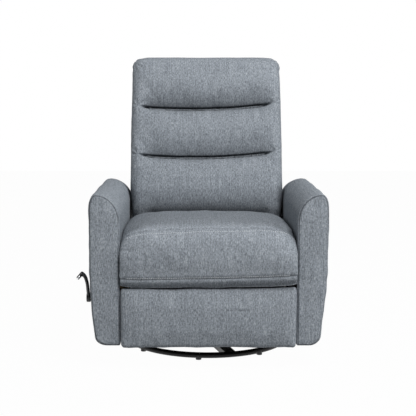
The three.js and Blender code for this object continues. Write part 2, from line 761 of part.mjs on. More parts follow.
// The footrest pad: loops stacked from its back to its front, drawn in at the edges
function footrestPad() {
  const halfHeight = (footrestTop - footrestBottom) / 2;
  const middle = (footrestTop + footrestBottom) / 2;
  return skin(footrestDepthShares.map((depthShare, stage) => {
    const inset = (1 - footrestSizeShares[stage]) * halfHeight;
    const width = cushionHalf - inset;
    const height = halfHeight - inset;
    const radius = Math.max(footrestEdgeRadius - inset / 2, footrestEdgeRadius / 4);
    const loop = [];
    [[1, -1], [1, 1], [-1, 1], [-1, -1]].forEach(([sideX, sideZ], corner) => {
      for (let i = 0; i <= footrestCornerSteps; i += 1) {
        const angle = (corner - 1 + i / footrestCornerSteps) * quarterTurn;
        loop.push(new THREE.Vector3(
          sideX * (width - radius) + radius * Math.cos(angle),
          -padRear - depthShare * footrestPadDepth,
          middle + sideZ * (height - radius) + radius * Math.sin(angle),
        ));
      }
    });
    return loop;
  }));
}

function makeFootrest() {
  const boardHalf = cushionHalf - footrestBoardInset;
  const board = block(
    -boardHalf, boardHalf, faceGap - padRear, -boardRear,
    footrestBottom + footrestBoardInset, footrestTop - footrestBoardInset,
  );
  piece('footrest_board', board, plywood);
  piece('footrest_pad', footrestPad(), upholstery);
}

// Lever: a hub on the torque tube's end, a flat bar that rises forward and hooks outward, and a bright tip
function makeLever() {
  const hubInner = armOuter + leverStandoff;
  const hubMiddle = hubInner + leverHubThickness / 2;
  const curve = new THREE.CatmullRomCurve3(leverPathShares.map(([out, forward, up]) => new THREE.Vector3(
    -hubMiddle - out * leverOut, -torque.x - forward * leverForward, torque.y + up * leverRise,
  )));
  const section = new THREE.Shape();
  section.absellipse(0, 0, leverDepth / 2, leverWidth / 2, 0, fullTurn, false, 0);
  const options = { steps: leverSteps, extrudePath: curve, curveSegments: 5 };
  const bar = new THREE.ExtrudeGeometry(section, options);
  const hub = rodX(leverHubRadius, -hubInner - leverHubThickness, -hubInner, torque);
  piece('lever_arm', combine(bar, [hub], []), blackPlastic);
  const heading = curve.getTangent(1);
  const middle = curve.getPoint(1).addScaledVector(heading, gripLength / 2 + faceGap);
  const grip = new THREE.CylinderGeometry(leverDepth / 2, leverDepth / 2, gripLength, roundSides)
    .scale(leverWidth / leverDepth, 1, 1)
    .applyQuaternion(new THREE.Quaternion().setFromUnitVectors(new THREE.Vector3(0, 1, 0), heading))
    .translate(middle.x, middle.y, middle.z);
  piece('lever_tip', grip, brightTrim);
}

// The right seat bracket: a flange under the side rail and a plate that runs back to the hinge pin
function seatBracket() {
  const front = torque.x - seatBracketSetback;
  const shape = polygon([
    [front, seatFlangeTop - seatBracketDrop], [front, seatFlangeTop], [-railRear, seatFlangeTop],
    [hinge.x - hingeBoss, hinge.y + hingeBoss], [hinge.x - hingeBoss, hinge.y - hingeBoss],
    [hinge.x + hingeBoss, hinge.y - hingeBoss],
  ]);
  const flange = block(
    railInner, seatBracketX + plateThickness / 2, -front, railRear, seatFlangeBottom, seatFlangeTop,
  );
  const hole = rodX(
    holeRadius(hingePinRadius), seatBracketX - overrun, seatBracketX + plateThickness + overrun, hinge,
  );
  return combine(plate(shape, seatBracketX, seatBracketX + plateThickness), [flange], [hole]);
}

// A sinuous spring from the front rail to the rear rail, as a flat wire that goes from side to side
function seatSpring() {
  const start = faceGap - railFront;
  const end = railRear - seatRearRailDepth - faceGap;
  const turns = Math.floor((end - start - springWire) / springPitch);
  const near = springOffset - springWidth / 2;
  const far = springOffset + springWidth / 2;
  const top = railTop - faceGap;
  const wire = (x0, x1, y0, y1) => block(x0, x1, y0, y1, top - springWire, top);
  const parts = [];
  for (let i = 0; i <= turns; i += 1) {
    const y = start + i * springPitch;
    parts.push(wire(near, far, y, y + springWire));
    const x = i % 2 ? near : far - springWire;
    if (i < turns) parts.push(wire(x, x + springWire, y, y + springPitch + springWire));
  }
  const last = start + turns * springPitch;
  parts.push(wire(springOffset - springWire / 2, springOffset + springWire / 2, last, end));
  return combine(parts[0], parts.slice(1), []);
}

// One side-view loop of the seat cushion: up the rear, over the top, round the nose and down the front drop
function seatLoop(x) {
  const shoulder = (Math.abs(x) - cushionHalf + seatShoulderWidth) / seatShoulderWidth;
  const round = 1 - Math.sqrt(1 - THREE.MathUtils.clamp(shoulder, 0, 1) ** seatShoulderPower);
  const top = seatTop - seatCrown * (x / cushionHalf) ** 2 - seatShoulderDrop * round;
  const under = railTop + faceGap;
  const front = seatFront - seatEdgeInset * round;
  const rearTop = top - seatDip;
  const dropBottom = seatDropBottom + seatEdgeInset * round;
  const points = [];
  const add = (forward, height) => points.push(new THREE.Vector3(x, -forward, height));
  add(dropInner, dropBottom);
  add(dropInner, under);
  add(-seatRear, under);
  const arcSteps = 3;
  for (let k = 0; k <= arcSteps; k += 1) {
    const angle = (k / arcSteps) * quarterTurn;
    add(seatRearRound * (1 - Math.cos(angle)) - seatRear, rearTop - seatRearRound * (1 - Math.sin(angle)));
  }
  const topSteps = 6;
  for (let k = 1; k <= topSteps; k += 1) {
    const share = k / (topSteps + 1);
    add(lerp(seatRearRound - seatRear, front - seatNose, share), rearTop + seatDip * ease(share, 0, 1));
  }
  const noseSteps = 6;
  for (let k = 0; k <= noseSteps; k += 1) {
    const angle = (k / noseSteps) * quarterTurn;
    add(front - seatNose * (1 - Math.sin(angle)), top - seatNose * (1 - Math.cos(angle)));
  }
  const dropSteps = 4;
  for (let k = 1; k < dropSteps; k += 1) {
    const share = k / dropSteps;
    const belly = seatBelly * Math.sin(share * halfTurn) * (1 - round);
    add(front + belly, lerp(top - seatNose, dropBottom + seatDropRound, share));
  }
  for (let k = 0; k < arcSteps; k += 1) {
    const angle = (k / (arcSteps - 1)) * quarterTurn;
    add(front - seatDropRound * (1 - Math.cos(angle)), dropBottom + seatDropRound * (1 - Math.sin(angle)));
  }
  return points;
}

// The seat cushion: side-view loops stacked across the seat, closer together towards the arms
function seatCushion() {
  return skin(Array.from({ length: seatStations + 1 }, (_, i) => (
    seatLoop(cushionHalf * Math.sin((i / seatStations - 0.5) * halfTurn))
  )));
}

// Seat: steel brackets on the hinge pins, a wooden frame with two sinuous springs, and the cushion
function makeSeat() {
  for (const { name, group } of sides) {
    piece(`seat_bracket_${name}`, seatBracket(), blackSteel, group);
    const rail = block(railInner, railOuter, -railFront, railRear, railBottom, railTop);
    piece(`seat_rail_${name}`, rail, plywood, group);
    piece(`seat_spring_${name}`, seatSpring(), zincSteel, group);
  }
  const frontRail = block(
    -railOuter, railOuter, faceGap - dropInner, -railFront - faceGap,
    seatDropBottom + seatFrontRailRaise, railTop,
  );
  piece('seat_rail_front', frontRail, plywood);
  const rearRail = block(
    faceGap - railInner, railInner - faceGap, railRear - seatRearRailDepth, railRear, railBottom, railTop,
  );
  piece('seat_rail_rear', rearRail, plywood);
  piece('seat_cushion', seatCushion(), upholstery);
}

// Sizes along the back, measured from the hinge
const backFrameTop = backPadTop - backTopWall;
const backRear = backPostDepth + faceGap + backPanelThickness;

// How far the pad's front falls back between its rolls, as a share of the channel depth
function rollDip(up) {
  const bounds = [0, ...backChannelShares, 1];
  const roll = up < bounds[1] ? 0 : up < bounds[2] ? 1 : 2;
  const place = (up - bounds[roll]) / (bounds[roll + 1] - bounds[roll]);
  const dip = 1 - Math.sqrt(Math.max(0, Math.sin(place * halfTurn)));
  const atEnd = (roll === 0 && place < 0.5) || (roll === 2 && place > 0.5);
  return atEnd ? dip * backEndDipShare : dip;
}

// How far the pad's edges draw in at its lower and upper ends
function backEndDraw(up) {
  const height = backPadTop - backPadBottom;
  const topDraw = edgeDraw((1 - up) * height, backEdgeRadius);
  const bottomDraw = (backBottomDraw / backEdgeRadius) * edgeDraw(up * height, backEdgeRadius);
  return Math.max(topDraw, bottomDraw);
}

// How far the pad's front stands ahead of the hinge plane, by its share of the height and of the half width
function backFront(up, across) {
  const channel = 1 - ease(Math.abs(across), backChannelStartShare, backChannelEndShare);
  const dip = backChannelDepth * rollDip(up) * channel;
  return backPadDepth - backTopThinning * up - dip - backEndDraw(up);
}

// One level loop of the back pad, anticlockwise from above: across the front, round the sides and the rear
function backLoop(up) {
  const height = backPadTop - backPadBottom;
  const draw = backEndDraw(up);
  const halfWidth = cushionHalf - (backTopNarrowing / 2) * ease(up, backChannelShares[0], 1) - draw;
  const rear = backRear - draw * backRearDrawShare;
  const z = backPadBottom + up * height;
  const lowFade = ease(up, 0, backChannelShares[0]);
  const highFade = 1 - ease(up, backChannelShares[1], 1);
  const lift = backChannelLift * lowFade * highFade;
  const points = [];
  for (let i = 0; i <= backAcross; i += 1) {
    const across = Math.sin((i / backAcross - 0.5) * halfTurn);
    const front = backFront(up, across);
    const corner = Math.max(0, 1 - ((1 - Math.abs(across)) * halfWidth) / backSideRound);
    const y = backSideRound * (1 - Math.sqrt(1 - corner ** 2)) - front;
    points.push(new THREE.Vector3(across * halfWidth, y, z + lift * across ** 2));
  }
  const rearHalf = halfWidth - backPanelThickness;
  points.push(new THREE.Vector3(halfWidth, rear - backPostDepth / 2, z));
  const rearSteps = 4;
  for (let i = 0; i <= rearSteps; i += 1) {
    points.push(new THREE.Vector3(lerp(rearHalf, -rearHalf, i / rearSteps), rear, z));
  }
  points.push(new THREE.Vector3(-halfWidth, rear - backPostDepth / 2, z));
  return points;
}

// The back pad's outside: loops at its ends, in its channels and over each of its three rolls
function backForm() {
  const bounds = [0, ...backChannelShares, 1];
  const rows = [0];
  for (let roll = 0; roll + 1 < bounds.length; roll += 1) {
    for (const share of backRollShares) rows.push(lerp(bounds[roll], bounds[roll + 1], share));
    rows.push(bounds[roll + 1]);
  }
  return skin(rows.map(backLoop));
}

// Back: brackets on the hinge pins, posts, a rear panel and a pad with three rolls
function makeBack() {
  const back = new THREE.Group();
  back.position.set(0, hingeBack, hingeHeight);
  back.rotation.x = -rake;
  chair.add(back);
  const postOuter = driveLayer - faceGap;
  const panelHalf = driveLayer + plateThickness;
  const foot = new THREE.Vector2(0, 0);
  const head = new THREE.Vector2(-backPostDepth / 2, backBracketLength);
  const hole = rodX(
    holeRadius(hingePinRadius), driveLayer - overrun, driveLayer + plateThickness + overrun, foot,
  );
  for (const { name, group } of pairOfSides(back)) {
    const bracket = plate(barShape(foot, head, backBracketRadius), driveLayer, driveLayer + plateThickness);
    piece(`back_bracket_${name}`, combine(bracket, [], [hole]), blackSteel, group);
    const post = block(
      postOuter - backPostWidth, postOuter, 0, backPostDepth, backPostBottom, backFrameTop,
    );
    piece(`back_post_${name}`, post, plywood, group);
  }
  const panelFront = backPostDepth + faceGap;
  const panel = block(
    -panelHalf, panelHalf, panelFront, panelFront + backPanelThickness, backPostBottom, backFrameTop,
  );
  piece('back_panel', panel, upholstery, back);
  const cutBottom = backPadBottom - overrun;
  const recess = block(
    -panelHalf - layerGap, panelHalf + layerGap, backPostDepth, backRear + overrun,
    cutBottom, backFrameTop + faceGap,
  );
  const postSlots = [postOuter - backPostWidth, -postOuter].map((x) => block(
    x - faceGap, x + backPostWidth + faceGap, -faceGap, backPostDepth + overrun,
    cutBottom, backFrameTop + faceGap,
  ));
  const bracketSlots = [driveLayer, -driveLayer - plateThickness].map((x) => block(
    x - layerGap, x + plateThickness + layerGap, -backBracketRadius - layerGap, backPostDepth + overrun,
    cutBottom, backBracketLength + backBracketRadius + layerGap,
  ));
  piece('back_pad', combine(backForm(), [], [recess, ...postSlots, ...bracketSlots]), upholstery, back);
}

makeBase();
makeSwivel();
makeGlider();
makeFrame();
makeArms();
makeLinkage();
makeFootrest();
makeLever();
makeSeat();
makeBack();

// Moves the chair so that the middle of its box is over the origin.
chair.updateMatrixWorld(true);
const middle = new THREE.Box3().setFromObject(chair, true).getCenter(new THREE.Vector3());
chair.position.set(-middle.x, -middle.y, 0);

export default chair;
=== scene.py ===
"""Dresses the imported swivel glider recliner: upholstery, finishes, small parts, light and camera.

Lengths are in metres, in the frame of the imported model: +Z up, and the sitter looks along -Y.
"""

import logging
import math
from dataclasses import dataclass, field
from enum import Enum
from typing import Any, Callable, Iterable, Sequence

import bmesh
import bpy
import numpy as np
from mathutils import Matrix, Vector
from mathutils.bvhtree import BVHTree


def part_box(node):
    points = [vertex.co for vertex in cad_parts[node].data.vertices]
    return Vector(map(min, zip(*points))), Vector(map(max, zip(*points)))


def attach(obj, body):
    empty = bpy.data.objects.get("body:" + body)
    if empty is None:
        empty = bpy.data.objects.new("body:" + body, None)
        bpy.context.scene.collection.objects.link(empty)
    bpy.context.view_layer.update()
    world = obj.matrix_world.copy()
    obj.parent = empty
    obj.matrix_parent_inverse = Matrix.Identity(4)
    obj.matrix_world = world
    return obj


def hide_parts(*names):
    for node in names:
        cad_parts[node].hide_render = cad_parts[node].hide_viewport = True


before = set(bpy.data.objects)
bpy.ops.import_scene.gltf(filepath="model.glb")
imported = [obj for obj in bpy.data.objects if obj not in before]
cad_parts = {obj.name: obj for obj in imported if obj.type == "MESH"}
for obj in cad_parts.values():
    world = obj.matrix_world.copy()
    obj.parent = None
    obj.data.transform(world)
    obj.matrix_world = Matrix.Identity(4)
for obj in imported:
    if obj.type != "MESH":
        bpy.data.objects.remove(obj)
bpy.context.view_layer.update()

log = logging.getLogger("recliner")
Colour = tuple[float, float, float]
Point = tuple[float, float, float]
Pair = tuple[float, float]
Object = bpy.types.Object
Material = bpy.types.Material
Array = np.ndarray
WEAVE_MAP = "weave"
# vertex attribute with the shade painted into folds, seams and gaps
PAINTED_SHADE_ATTRIBUTE = "painted_shade"
ORIGIN = (0.0, 0.0, 0.0)
CAP_SHARES = (0.82, 0.6, 0.36, 0.14)
SLAB_CAP_SHARES = (0.6, 0.2)
SLAB_ANGLE = 55.0
PAD_ANGLE = 60.0
SMALL_PART_ANGLE = 35.0
QUARTER_TURN = math.pi / 2.0
STUFFED_CLOTH = {
    "quality": 5,
    "mass": 0.4,
    "tension_stiffness": 18.0,
    "compression_stiffness": 18.0,
    "shear_stiffness": 6.0,
    "bending_stiffness": 0.6,
    "use_pressure": True,
    "uniform_pressure_force": 4.0,
}
SWELL_FRAMES = 20
SIDE_FACING = 0.72
UNDER_FACING = 0.12


class Side(Enum):
    """The two sides of the chair, as seen from the front."""

    LEFT = "left"
    RIGHT = "right"

    @property
    def sign(self) -> float:
        """The sign of a distance to the right on this side."""
        return 1.0 if self is Side.RIGHT else -1.0


class Body(Enum):
    """The moving bodies that the new pieces ride on."""

    BASE = "base"
    SWIVEL = "swivel"
    FRAME = "frame"
    DRIVE = "footrest_drive"
    FOOTREST = "footrest"
    SEAT = "seat"
    BACK = "back"


class Slot(Enum):
    """Material slots, by name."""

    UPHOLSTERY = "upholstery"
    BLACK_STEEL = "black_steel"
    ZINC_STEEL = "zinc_steel"
    BLACK_PLASTIC = "black_plastic"
    BRIGHT_TRIM = "bright_trim"


# Shader building


def scaled(colour: Colour, factor: float) -> Colour:
    """A colour made lighter or darker."""
    red, green, blue = colour
    return (factor * red, factor * green, factor * blue)


class Socket:
    """A value socket that takes part in Python arithmetic."""

    def __init__(self, nodes: "Nodes", socket: Any) -> None:
        """Wraps a socket."""
        self.nodes = nodes
        self.socket = socket

    def math(self, operation: str, *values: Any) -> "Socket":
        """Adds one Math node."""
        inputs = dict(enumerate(values))
        return self.nodes.add("ShaderNodeMath", {"operation": operation}, inputs)

    def __add__(self, other: Any) -> "Socket":
        """Sum."""
        return self.math("ADD", self, other)

    __radd__ = __add__

    def __sub__(self, other: Any) -> "Socket":
        """Difference."""
        return self.math("SUBTRACT", self, other)

    def __rsub__(self, other: Any) -> "Socket":
        """Reflected difference."""
        return self.math("SUBTRACT", other, self)

    def __mul__(self, other: Any) -> "Socket":
        """Product."""
        return self.math("MULTIPLY", self, other)

    __rmul__ = __mul__

    def __pow__(self, other: Any) -> "Socket":
        """Power."""
        return self.math("POWER", self, other)

    def sine(self) -> "Socket":
        """Sine, in radians."""
        return self.math("SINE", self)

    def between(self, low: float, high: float) -> "Socket":
        """A smooth step from 0 at low to 1 at high."""
        settings = {"interpolation_type": "SMOOTHSTEP"}
        return self.nodes.add("ShaderNodeMapRange", settings, {0: self, 1: low, 2: high, 3: 0.0, 4: 1.0})


class Nodes:
    """Builds the nodes of one material."""

    def __init__(self, name: str) -> None:
        """Makes an empty material with its output.

        Args:
            name: the material's name.
        """
        self.material = bpy.data.materials.new(name)
        self.material.use_nodes = True
        self.tree = self.material.node_tree
        self.tree.nodes.clear()
        self.output = self.tree.nodes.new("ShaderNodeOutputMaterial")

    def node(self, kind: str, settings: dict[str, Any], inputs: dict[Any, Any]) -> Any:
        """Adds a node.

        Args:
            kind: the node's type.
            settings: its properties, set first. A ramp's stops go under "stops".
            inputs: numbers, colours or sockets, by the input's name or place.

        Returns:
            The node.
        """
        node = self.tree.nodes.new(kind)
        stops = settings.pop("stops", None)
        for key, value in settings.items():
            setattr(node, key, value)
        if stops:
            ramp = node.color_ramp
            while len(ramp.elements) < len(stops):
                ramp.elements.new(1.0)
            for element, (place, colour) in zip(ramp.elements, stops):
                element.position = place
                element.color = (*colour, 1.0)
        for key, value in inputs.items():
            if isinstance(value, Socket):
                self.tree.links.new(value.socket, node.inputs[key])
            elif value is not None:
                if isinstance(value, tuple) and node.inputs[key].type == "RGBA":
                    value = (*value, 1.0)
                node.inputs[key].default_value = value
        return node

    def add(self, kind: str, settings: dict[str, Any], inputs: dict[Any, Any], output: int = 0) -> Socket:
        """Adds a node and gives one of its outputs."""
        return Socket(self, self.node(kind, settings, inputs).outputs[output])

    def object_place(self) -> Socket:
        """Object coordinates."""
        return self.add("ShaderNodeTexCoord", {}, {}, 3)

    def mapped(self, vector: Socket, scale: Point, turn: Point = ORIGIN) -> Socket:
        """A Mapping node."""
        return self.add("ShaderNodeMapping", {}, {"Vector": vector, "Scale": scale, "Rotation": turn})

    def noise(self, vector: Socket, scale: float, detail: float = 2.0, roughness: float = 0.5) -> Socket:
        """A Noise texture's value."""
        inputs = {"Vector": vector, "Scale": scale, "Detail": detail, "Roughness": roughness}
        return self.add("ShaderNodeTexNoise", {}, inputs)

    def ramp(self, value: Socket, stops: Sequence[tuple[float, Colour]]) -> Socket:
        """A colour ramp."""
        return self.add("ShaderNodeValToRGB", {"stops": list(stops)}, {0: value})

    def blend(self, factor: Any, first: Any, second: Any, mode: str = "MIX") -> Socket:
        """Mixes two colours."""
        settings = {"data_type": "RGBA", "blend_type": mode}
        return self.add("ShaderNodeMix", settings, {0: factor, 6: first, 7: second}, 2)

    def bump(self, height: Socket, distance: float, strength: float = 1.0) -> Socket:
        """A bumped normal."""
        return self.add("ShaderNodeBump", {}, {"Strength": strength, "Distance": distance, "Height": height})

    def surface(self, inputs: dict[str, Any]) -> Material:
        """Ends the material with a principled surface.

        Args:
            inputs: the shader's inputs by name.

        Returns:
            The material.
        """
        shader = self.node("ShaderNodeBsdfPrincipled", {}, inputs)
        self.tree.links.new(shader.outputs[0], self.output.inputs["Surface"])
        return self.material


@dataclass(frozen=True)
class HeatheredLinen:
    """A linen-look upholstery weave of light and dark yarns with slubs, blended towards near-black by the
    shade painted into its folds, seams and gaps.
    """

    name: str = "heathered_linen"
    dark: Colour = (0.125, 0.140, 0.160)
    shade: Colour = (0.205, 0.228, 0.255)
    middle: Colour = (0.285, 0.314, 0.347)
    light: Colour = (0.430, 0.460, 0.492)
    # near-black colour of the painted shade in creases, seams and gaps
    crease: Colour = (0.016, 0.018, 0.022)
    tones: tuple[float, float, float, float] = (0.34, 0.455, 0.535, 0.70)
    threads: float = 560.0
    thread_run: float = 70.0
    slub_width: float = 430.0
    slub_length: float = 110.0
    wale_width: float = 230.0
    wale_run: float = 9.0
    fuzz_scale: float = 1400.0
    drift_scale: float = 7.0
    mean: float = 0.548
    weave_height: float = 0.0005
    weave_strength: float = 0.35
    shine: float = 0.12

    def make(self) -> Material:
        """Builds the material.

        Returns:
            The material.
        """
        nodes = Nodes(self.name)
        place = nodes.add("ShaderNodeUVMap", {"uv_map": WEAVE_MAP}, {})

        def streaks(across: float, along: float, detail: float, roughness: float) -> Socket:
            """Noise that is stretched over the weave's map."""
            return nodes.noise(nodes.mapped(place, (across, along, 1.0)), 1.0, detail, roughness)

        warp = streaks(self.threads, self.thread_run, 3.0, 0.62)
        weft = streaks(self.thread_run, self.threads, 3.0, 0.62)
        upright = streaks(self.slub_width, self.slub_length, 2.0, 0.6)
        level = streaks(self.slub_length, self.slub_width, 2.0, 0.6)
        fuzz = nodes.noise(place, self.fuzz_scale, 1.0)
        drift = nodes.noise(place, self.drift_scale, 2.0)
        wale = streaks(self.wale_width, self.wale_run, 1.0, 0.5)
        split = nodes.node("ShaderNodeSeparateXYZ", {}, {0: place})
        across = (Socket(nodes, split.outputs[0]) * (self.threads * math.pi)).sine()
        along = (Socket(nodes, split.outputs[1]) * (self.threads * math.pi)).sine()
        over = (across * along).between(-0.5, 0.5)
        yarn = warp * over + weft * (1.0 - over)
        threads = yarn * 0.34 + warp * 0.50 + upright * 0.50 + level * 0.30 + wale * 0.22
        heather = threads + fuzz * 0.16 + drift * 0.06 - self.mean
        colours = (self.dark, self.shade, self.middle, self.light)
        colour = nodes.ramp(heather, list(zip(self.tones, colours)))
        # painted shade: the weave's colour is blended towards near-black where each piece's painted-shade
        # attribute says
        painted_shade_factor = nodes.add("ShaderNodeAttribute", {"attribute_name": PAINTED_SHADE_ATTRIBUTE}, {}, 2)
        colour = nodes.blend(painted_shade_factor, colour, self.crease)
        height = across * across * 0.35 + along * along * 0.35 + yarn * 0.9 + upright * 0.3
        return nodes.surface(
            {
                "Base Color": colour,
                "Roughness": 0.80 + 0.18 * fuzz,
                "Specular IOR Level": self.shine,
                "Normal": nodes.bump(height, self.weave_height, self.weave_strength),
            }
        )


@dataclass(frozen=True)
class DarkCloth:
    """Thin dark lining cloth of the dust flap."""

    name: str = "dark_cloth"
    colour: Colour = (0.018, 0.019, 0.021)
    grain_scale: float = 900.0
    grain_height: float = 0.0003

    def make(self) -> Material:
        """Builds the material.

        Returns:
            The material.
        """
        nodes = Nodes(self.name)
        grain = nodes.noise(nodes.object_place(), self.grain_scale, 2.0)
        colour = nodes.ramp(grain, [(0.3, self.colour), (0.7, scaled(self.colour, 1.9))])
        normal = nodes.bump(grain, self.grain_height)
        return nodes.surface({"Base Color": colour, "Roughness": 0.9, "Normal": normal})


@dataclass(frozen=True)
class PowderCoat:
    """Satin powder coat on steel, with a fine texture and patches of dust."""

    name: str = "powder_black"
    colour: Colour = (0.008, 0.008, 0.009)
    dust: Colour = (0.018, 0.018, 0.019)
    roughness: float = 0.34
    peel_scale: float = 420.0
    peel_height: float = 0.00012
    dust_scale: float = 18.0

    def make(self) -> Material:
        """Builds the material.

        Returns:
            The material.
        """
        nodes = Nodes(self.name)
        place = nodes.object_place()
        peel = nodes.noise(place, self.peel_scale, 2.0)
        dust = nodes.noise(place, self.dust_scale, 4.0, 0.6).between(0.45, 0.8)
        colour = nodes.blend(dust * 0.35, self.colour, self.dust)
        return nodes.surface(
            {
                "Base Color": colour,
                "Roughness": self.roughness + 0.16 * dust + 0.06 * peel,
                "Specular IOR Level": 0.22,
                "Coat Weight": 0.06,
                "Coat Roughness": 0.25,
                "Normal": nodes.bump(peel, self.peel_height, 0.5),
            }
        )


@dataclass(frozen=True)
class ZincPlate:
    """Bright zinc plating with rolled streaks and a faint yellow cast."""

    name: str = "zinc_plate"
    colour: Colour = (0.50, 0.51, 0.52)
    warm: Colour = (0.47, 0.46, 0.41)
    streak: Point = (30.0, 30.0, 600.0)
    streak_height: float = 0.00006
    cloud_scale: float = 14.0

    def make(self) -> Material:
        """Builds the material.

        Returns:
            The material.
        """
        nodes = Nodes(self.name)
        place = nodes.object_place()
        brushed = nodes.noise(nodes.mapped(place, self.streak), 1.0, 2.0)
        cloud = nodes.noise(place, self.cloud_scale, 3.0)
        colour = nodes.blend(cloud.between(0.4, 0.75), self.colour, self.warm)
        return nodes.surface(
            {
                "Base Color": colour,
                "Metallic": 1.0,
                "Roughness": 0.26 + 0.16 * brushed + 0.12 * cloud,
                "Normal": nodes.bump(brushed, self.streak_height, 0.5),
            }
        )


@dataclass(frozen=True)
class RawPly:
    """Unfinished plywood: pale grain on the faces and dark lines between the layers."""

    name: str = "raw_ply"
    pale: Colour = (0.56, 0.41, 0.25)
    ring: Colour = (0.36, 0.235, 0.125)
    bright: Colour = (0.66, 0.52, 0.35)
    warp_scale: Point = (3.0, 3.0, 14.0)
    grain_scale: Point = (30.0, 6.0, 210.0)
    line_scale: Point = (10.0, 2.0, 60.0)
    grain_height: float = 0.0003

    def make(self) -> Material:
        """Builds the material.

        Returns:
            The material.
        """
        nodes = Nodes(self.name)
        place = nodes.object_place()
        warped = nodes.noise(nodes.mapped(place, self.warp_scale), 1.0, 3.0)
        grain = nodes.noise(nodes.mapped(place, self.grain_scale), 1.0, 3.0, 0.6)
        lines = nodes.noise(nodes.mapped(place, self.line_scale), 1.0, 1.0)
        mix = grain * 0.5 + warped * 0.3 + lines * 0.3
        colour = nodes.ramp(mix, [(0.38, self.ring), (0.52, self.pale), (0.75, self.bright)])
        return nodes.surface(
            {
                "Base Color": colour,
                "Roughness": 0.62 + 0.2 * grain,
                "Normal": nodes.bump(grain, self.grain_height, 0.6),
            }
        )


@dataclass(frozen=True)
class MouldedPlastic:
    """Black moulded plastic with a fine spark texture and scuffs."""

    name: str = "moulded_plastic"
    colour: Colour = (0.020, 0.020, 0.021)
    roughness: float = 0.38
    spark_scale: float = 1500.0
    spark_height: float = 0.00008
    scuff_scale: float = 40.0

    def make(self) -> Material:
        """Builds the material.

        Returns:
            The material.
        """
        nodes = Nodes(self.name)
        place = nodes.object_place()
        spark = nodes.noise(place, self.spark_scale, 1.0)
        scuff = nodes.noise(place, self.scuff_scale, 4.0, 0.7).between(0.56, 0.74)
        colour = nodes.blend(scuff * 0.5, self.colour, scaled(self.colour, 2.6))
        return nodes.surface(
            {
                "Base Color": colour,
                "Roughness": self.roughness + 0.2 * scuff,
                "Normal": nodes.bump(spark, self.spark_height, 0.6),
            }
        )


@dataclass(frozen=True)
class PolishedChrome:
    """Polished chrome with faint wipe marks."""

    name: str = "polished_chrome"
    colour: Colour = (0.78, 0.79, 0.80)
    wipe: Point = (60.0, 60.0, 300.0)

    def make(self) -> Material:
        """Builds the material.

        Returns:
            The material.
        """
        nodes = Nodes(self.name)
        marks = nodes.noise(nodes.mapped(nodes.object_place(), self.wipe), 1.0, 3.0)
        roughness = 0.07 + 0.14 * marks.between(0.5, 0.8)
        return nodes.surface({"Base Color": self.colour, "Metallic": 1.0, "Roughness": roughness})


@dataclass(frozen=True)
class SewingThread:
    """Light twisted thread of the seat's topstitching."""

    name: str = "sewing_thread"
    colour: Colour = (0.60, 0.63, 0.66)
    twist: Point = (1800.0, 900.0, 900.0)

    def make(self) -> Material:
        """Builds the material.

        Returns:
            The material.
        """
        nodes = Nodes(self.name)
        twist = nodes.noise(nodes.mapped(nodes.object_place(), self.twist), 1.0, 1.0)
        colour = nodes.blend(twist, scaled(self.colour, 0.75), scaled(self.colour, 1.15))
        return nodes.surface({"Base Color": colour, "Roughness": 0.6 + 0.2 * twist})


@dataclass(frozen=True)
class StudioFloor:
    """A pale floor that the camera sees almost white, with the object's shadow on it."""

    name: str = "studio_floor"
    colour: Colour = (0.42, 0.42, 0.42)
    lift: float = 0.980

    def make(self) -> Material:
        """Builds the material.

        Returns:
            The material.
        """
        nodes = Nodes(self.name)
        paths = nodes.node("ShaderNodeLightPath", {}, {})
        rays = ("Is Camera Ray", "Is Glossy Ray", "Is Transmission Ray")
        camera, glossy, clear = (Socket(nodes, paths.outputs[name]) for name in rays)
        shown = camera.math("MAXIMUM", camera, glossy.math("MAXIMUM", glossy, clear))
        paint = nodes.node("ShaderNodeBsdfDiffuse", {}, {"Color": self.colour})
        glow = nodes.node("ShaderNodeEmission", {}, {"Color": (1.0, 1.0, 1.0), "Strength": 1.0})
        inputs = {0: shown * self.lift, 1: Socket(nodes, paint.outputs[0]), 2: Socket(nodes, glow.outputs[0])}
        mixed = nodes.node("ShaderNodeMixShader", {}, inputs)
        nodes.tree.links.new(mixed.outputs[0], nodes.output.inputs["Surface"])
        return nodes.material


# Mesh helpers


def select_only(obj: Object) -> None:
    """Selects one object, makes it active and selects nothing else.

    Args:
        obj: the object.
    """
    if bpy.context.object and bpy.context.object.mode != "OBJECT":
        bpy.ops.object.mode_set(mode="OBJECT")
    bpy.ops.object.select_all(action="DESELECT")
    obj.select_set(True)
    bpy.context.view_layer.objects.active = obj


def values_of(items: Any, attribute: str, width: int, kind: type = float) -> Array:
    """Reads one attribute of a mesh's vertices, corners or faces.

    Args:
        items: the elements.
        attribute: the attribute's name.
        width: how many numbers each element has.
        kind: the type of the numbers.

    Returns:
        The values, one row for each element.
    """
    flat = np.empty(len(items) * width, dtype=kind)
    items.foreach_get(attribute, flat)
    return flat.reshape(-1, width)


def places_of(obj: Object) -> Array:
    """Gives an object's vertex places, one row for each vertex."""
    return values_of(obj.data.vertices, "co", 3)


def put_places(obj: Object, places: Array) -> None:
    """Sets an object's vertex places, one row for each vertex."""
    obj.data.vertices.foreach_set("co", places.ravel())
    obj.data.update()


def shift_places(obj: Object, move: Array) -> None:
    """Moves every vertex of an object along its normal, each by its own distance."""
    put_places(obj, places_of(obj) + normals_of(obj) * move[:, None])


def normals_of(obj: Object) -> Array:
    """Gives an object's vertex normals, one row for each vertex."""
    return values_of(obj.data.vertices, "normal", 3)


def apply_modifier(obj: Object, kind: str, **settings: Any) -> None:
    """Adds a modifier and applies it.

    Args:
        obj: the object.
        kind: the modifier's type.
        settings: its properties.
    """
    modifier = obj.modifiers.new(kind.lower(), kind)
    for key, value in settings.items():
        setattr(modifier, key, value)
    select_only(obj)
    bpy.ops.object.modifier_apply(modifier=modifier.name)


def refine(obj: Object) -> None:
    """Subdivides a soft piece once, smoothly."""
    apply_modifier(obj, "SUBSURF", levels=1, render_levels=1)


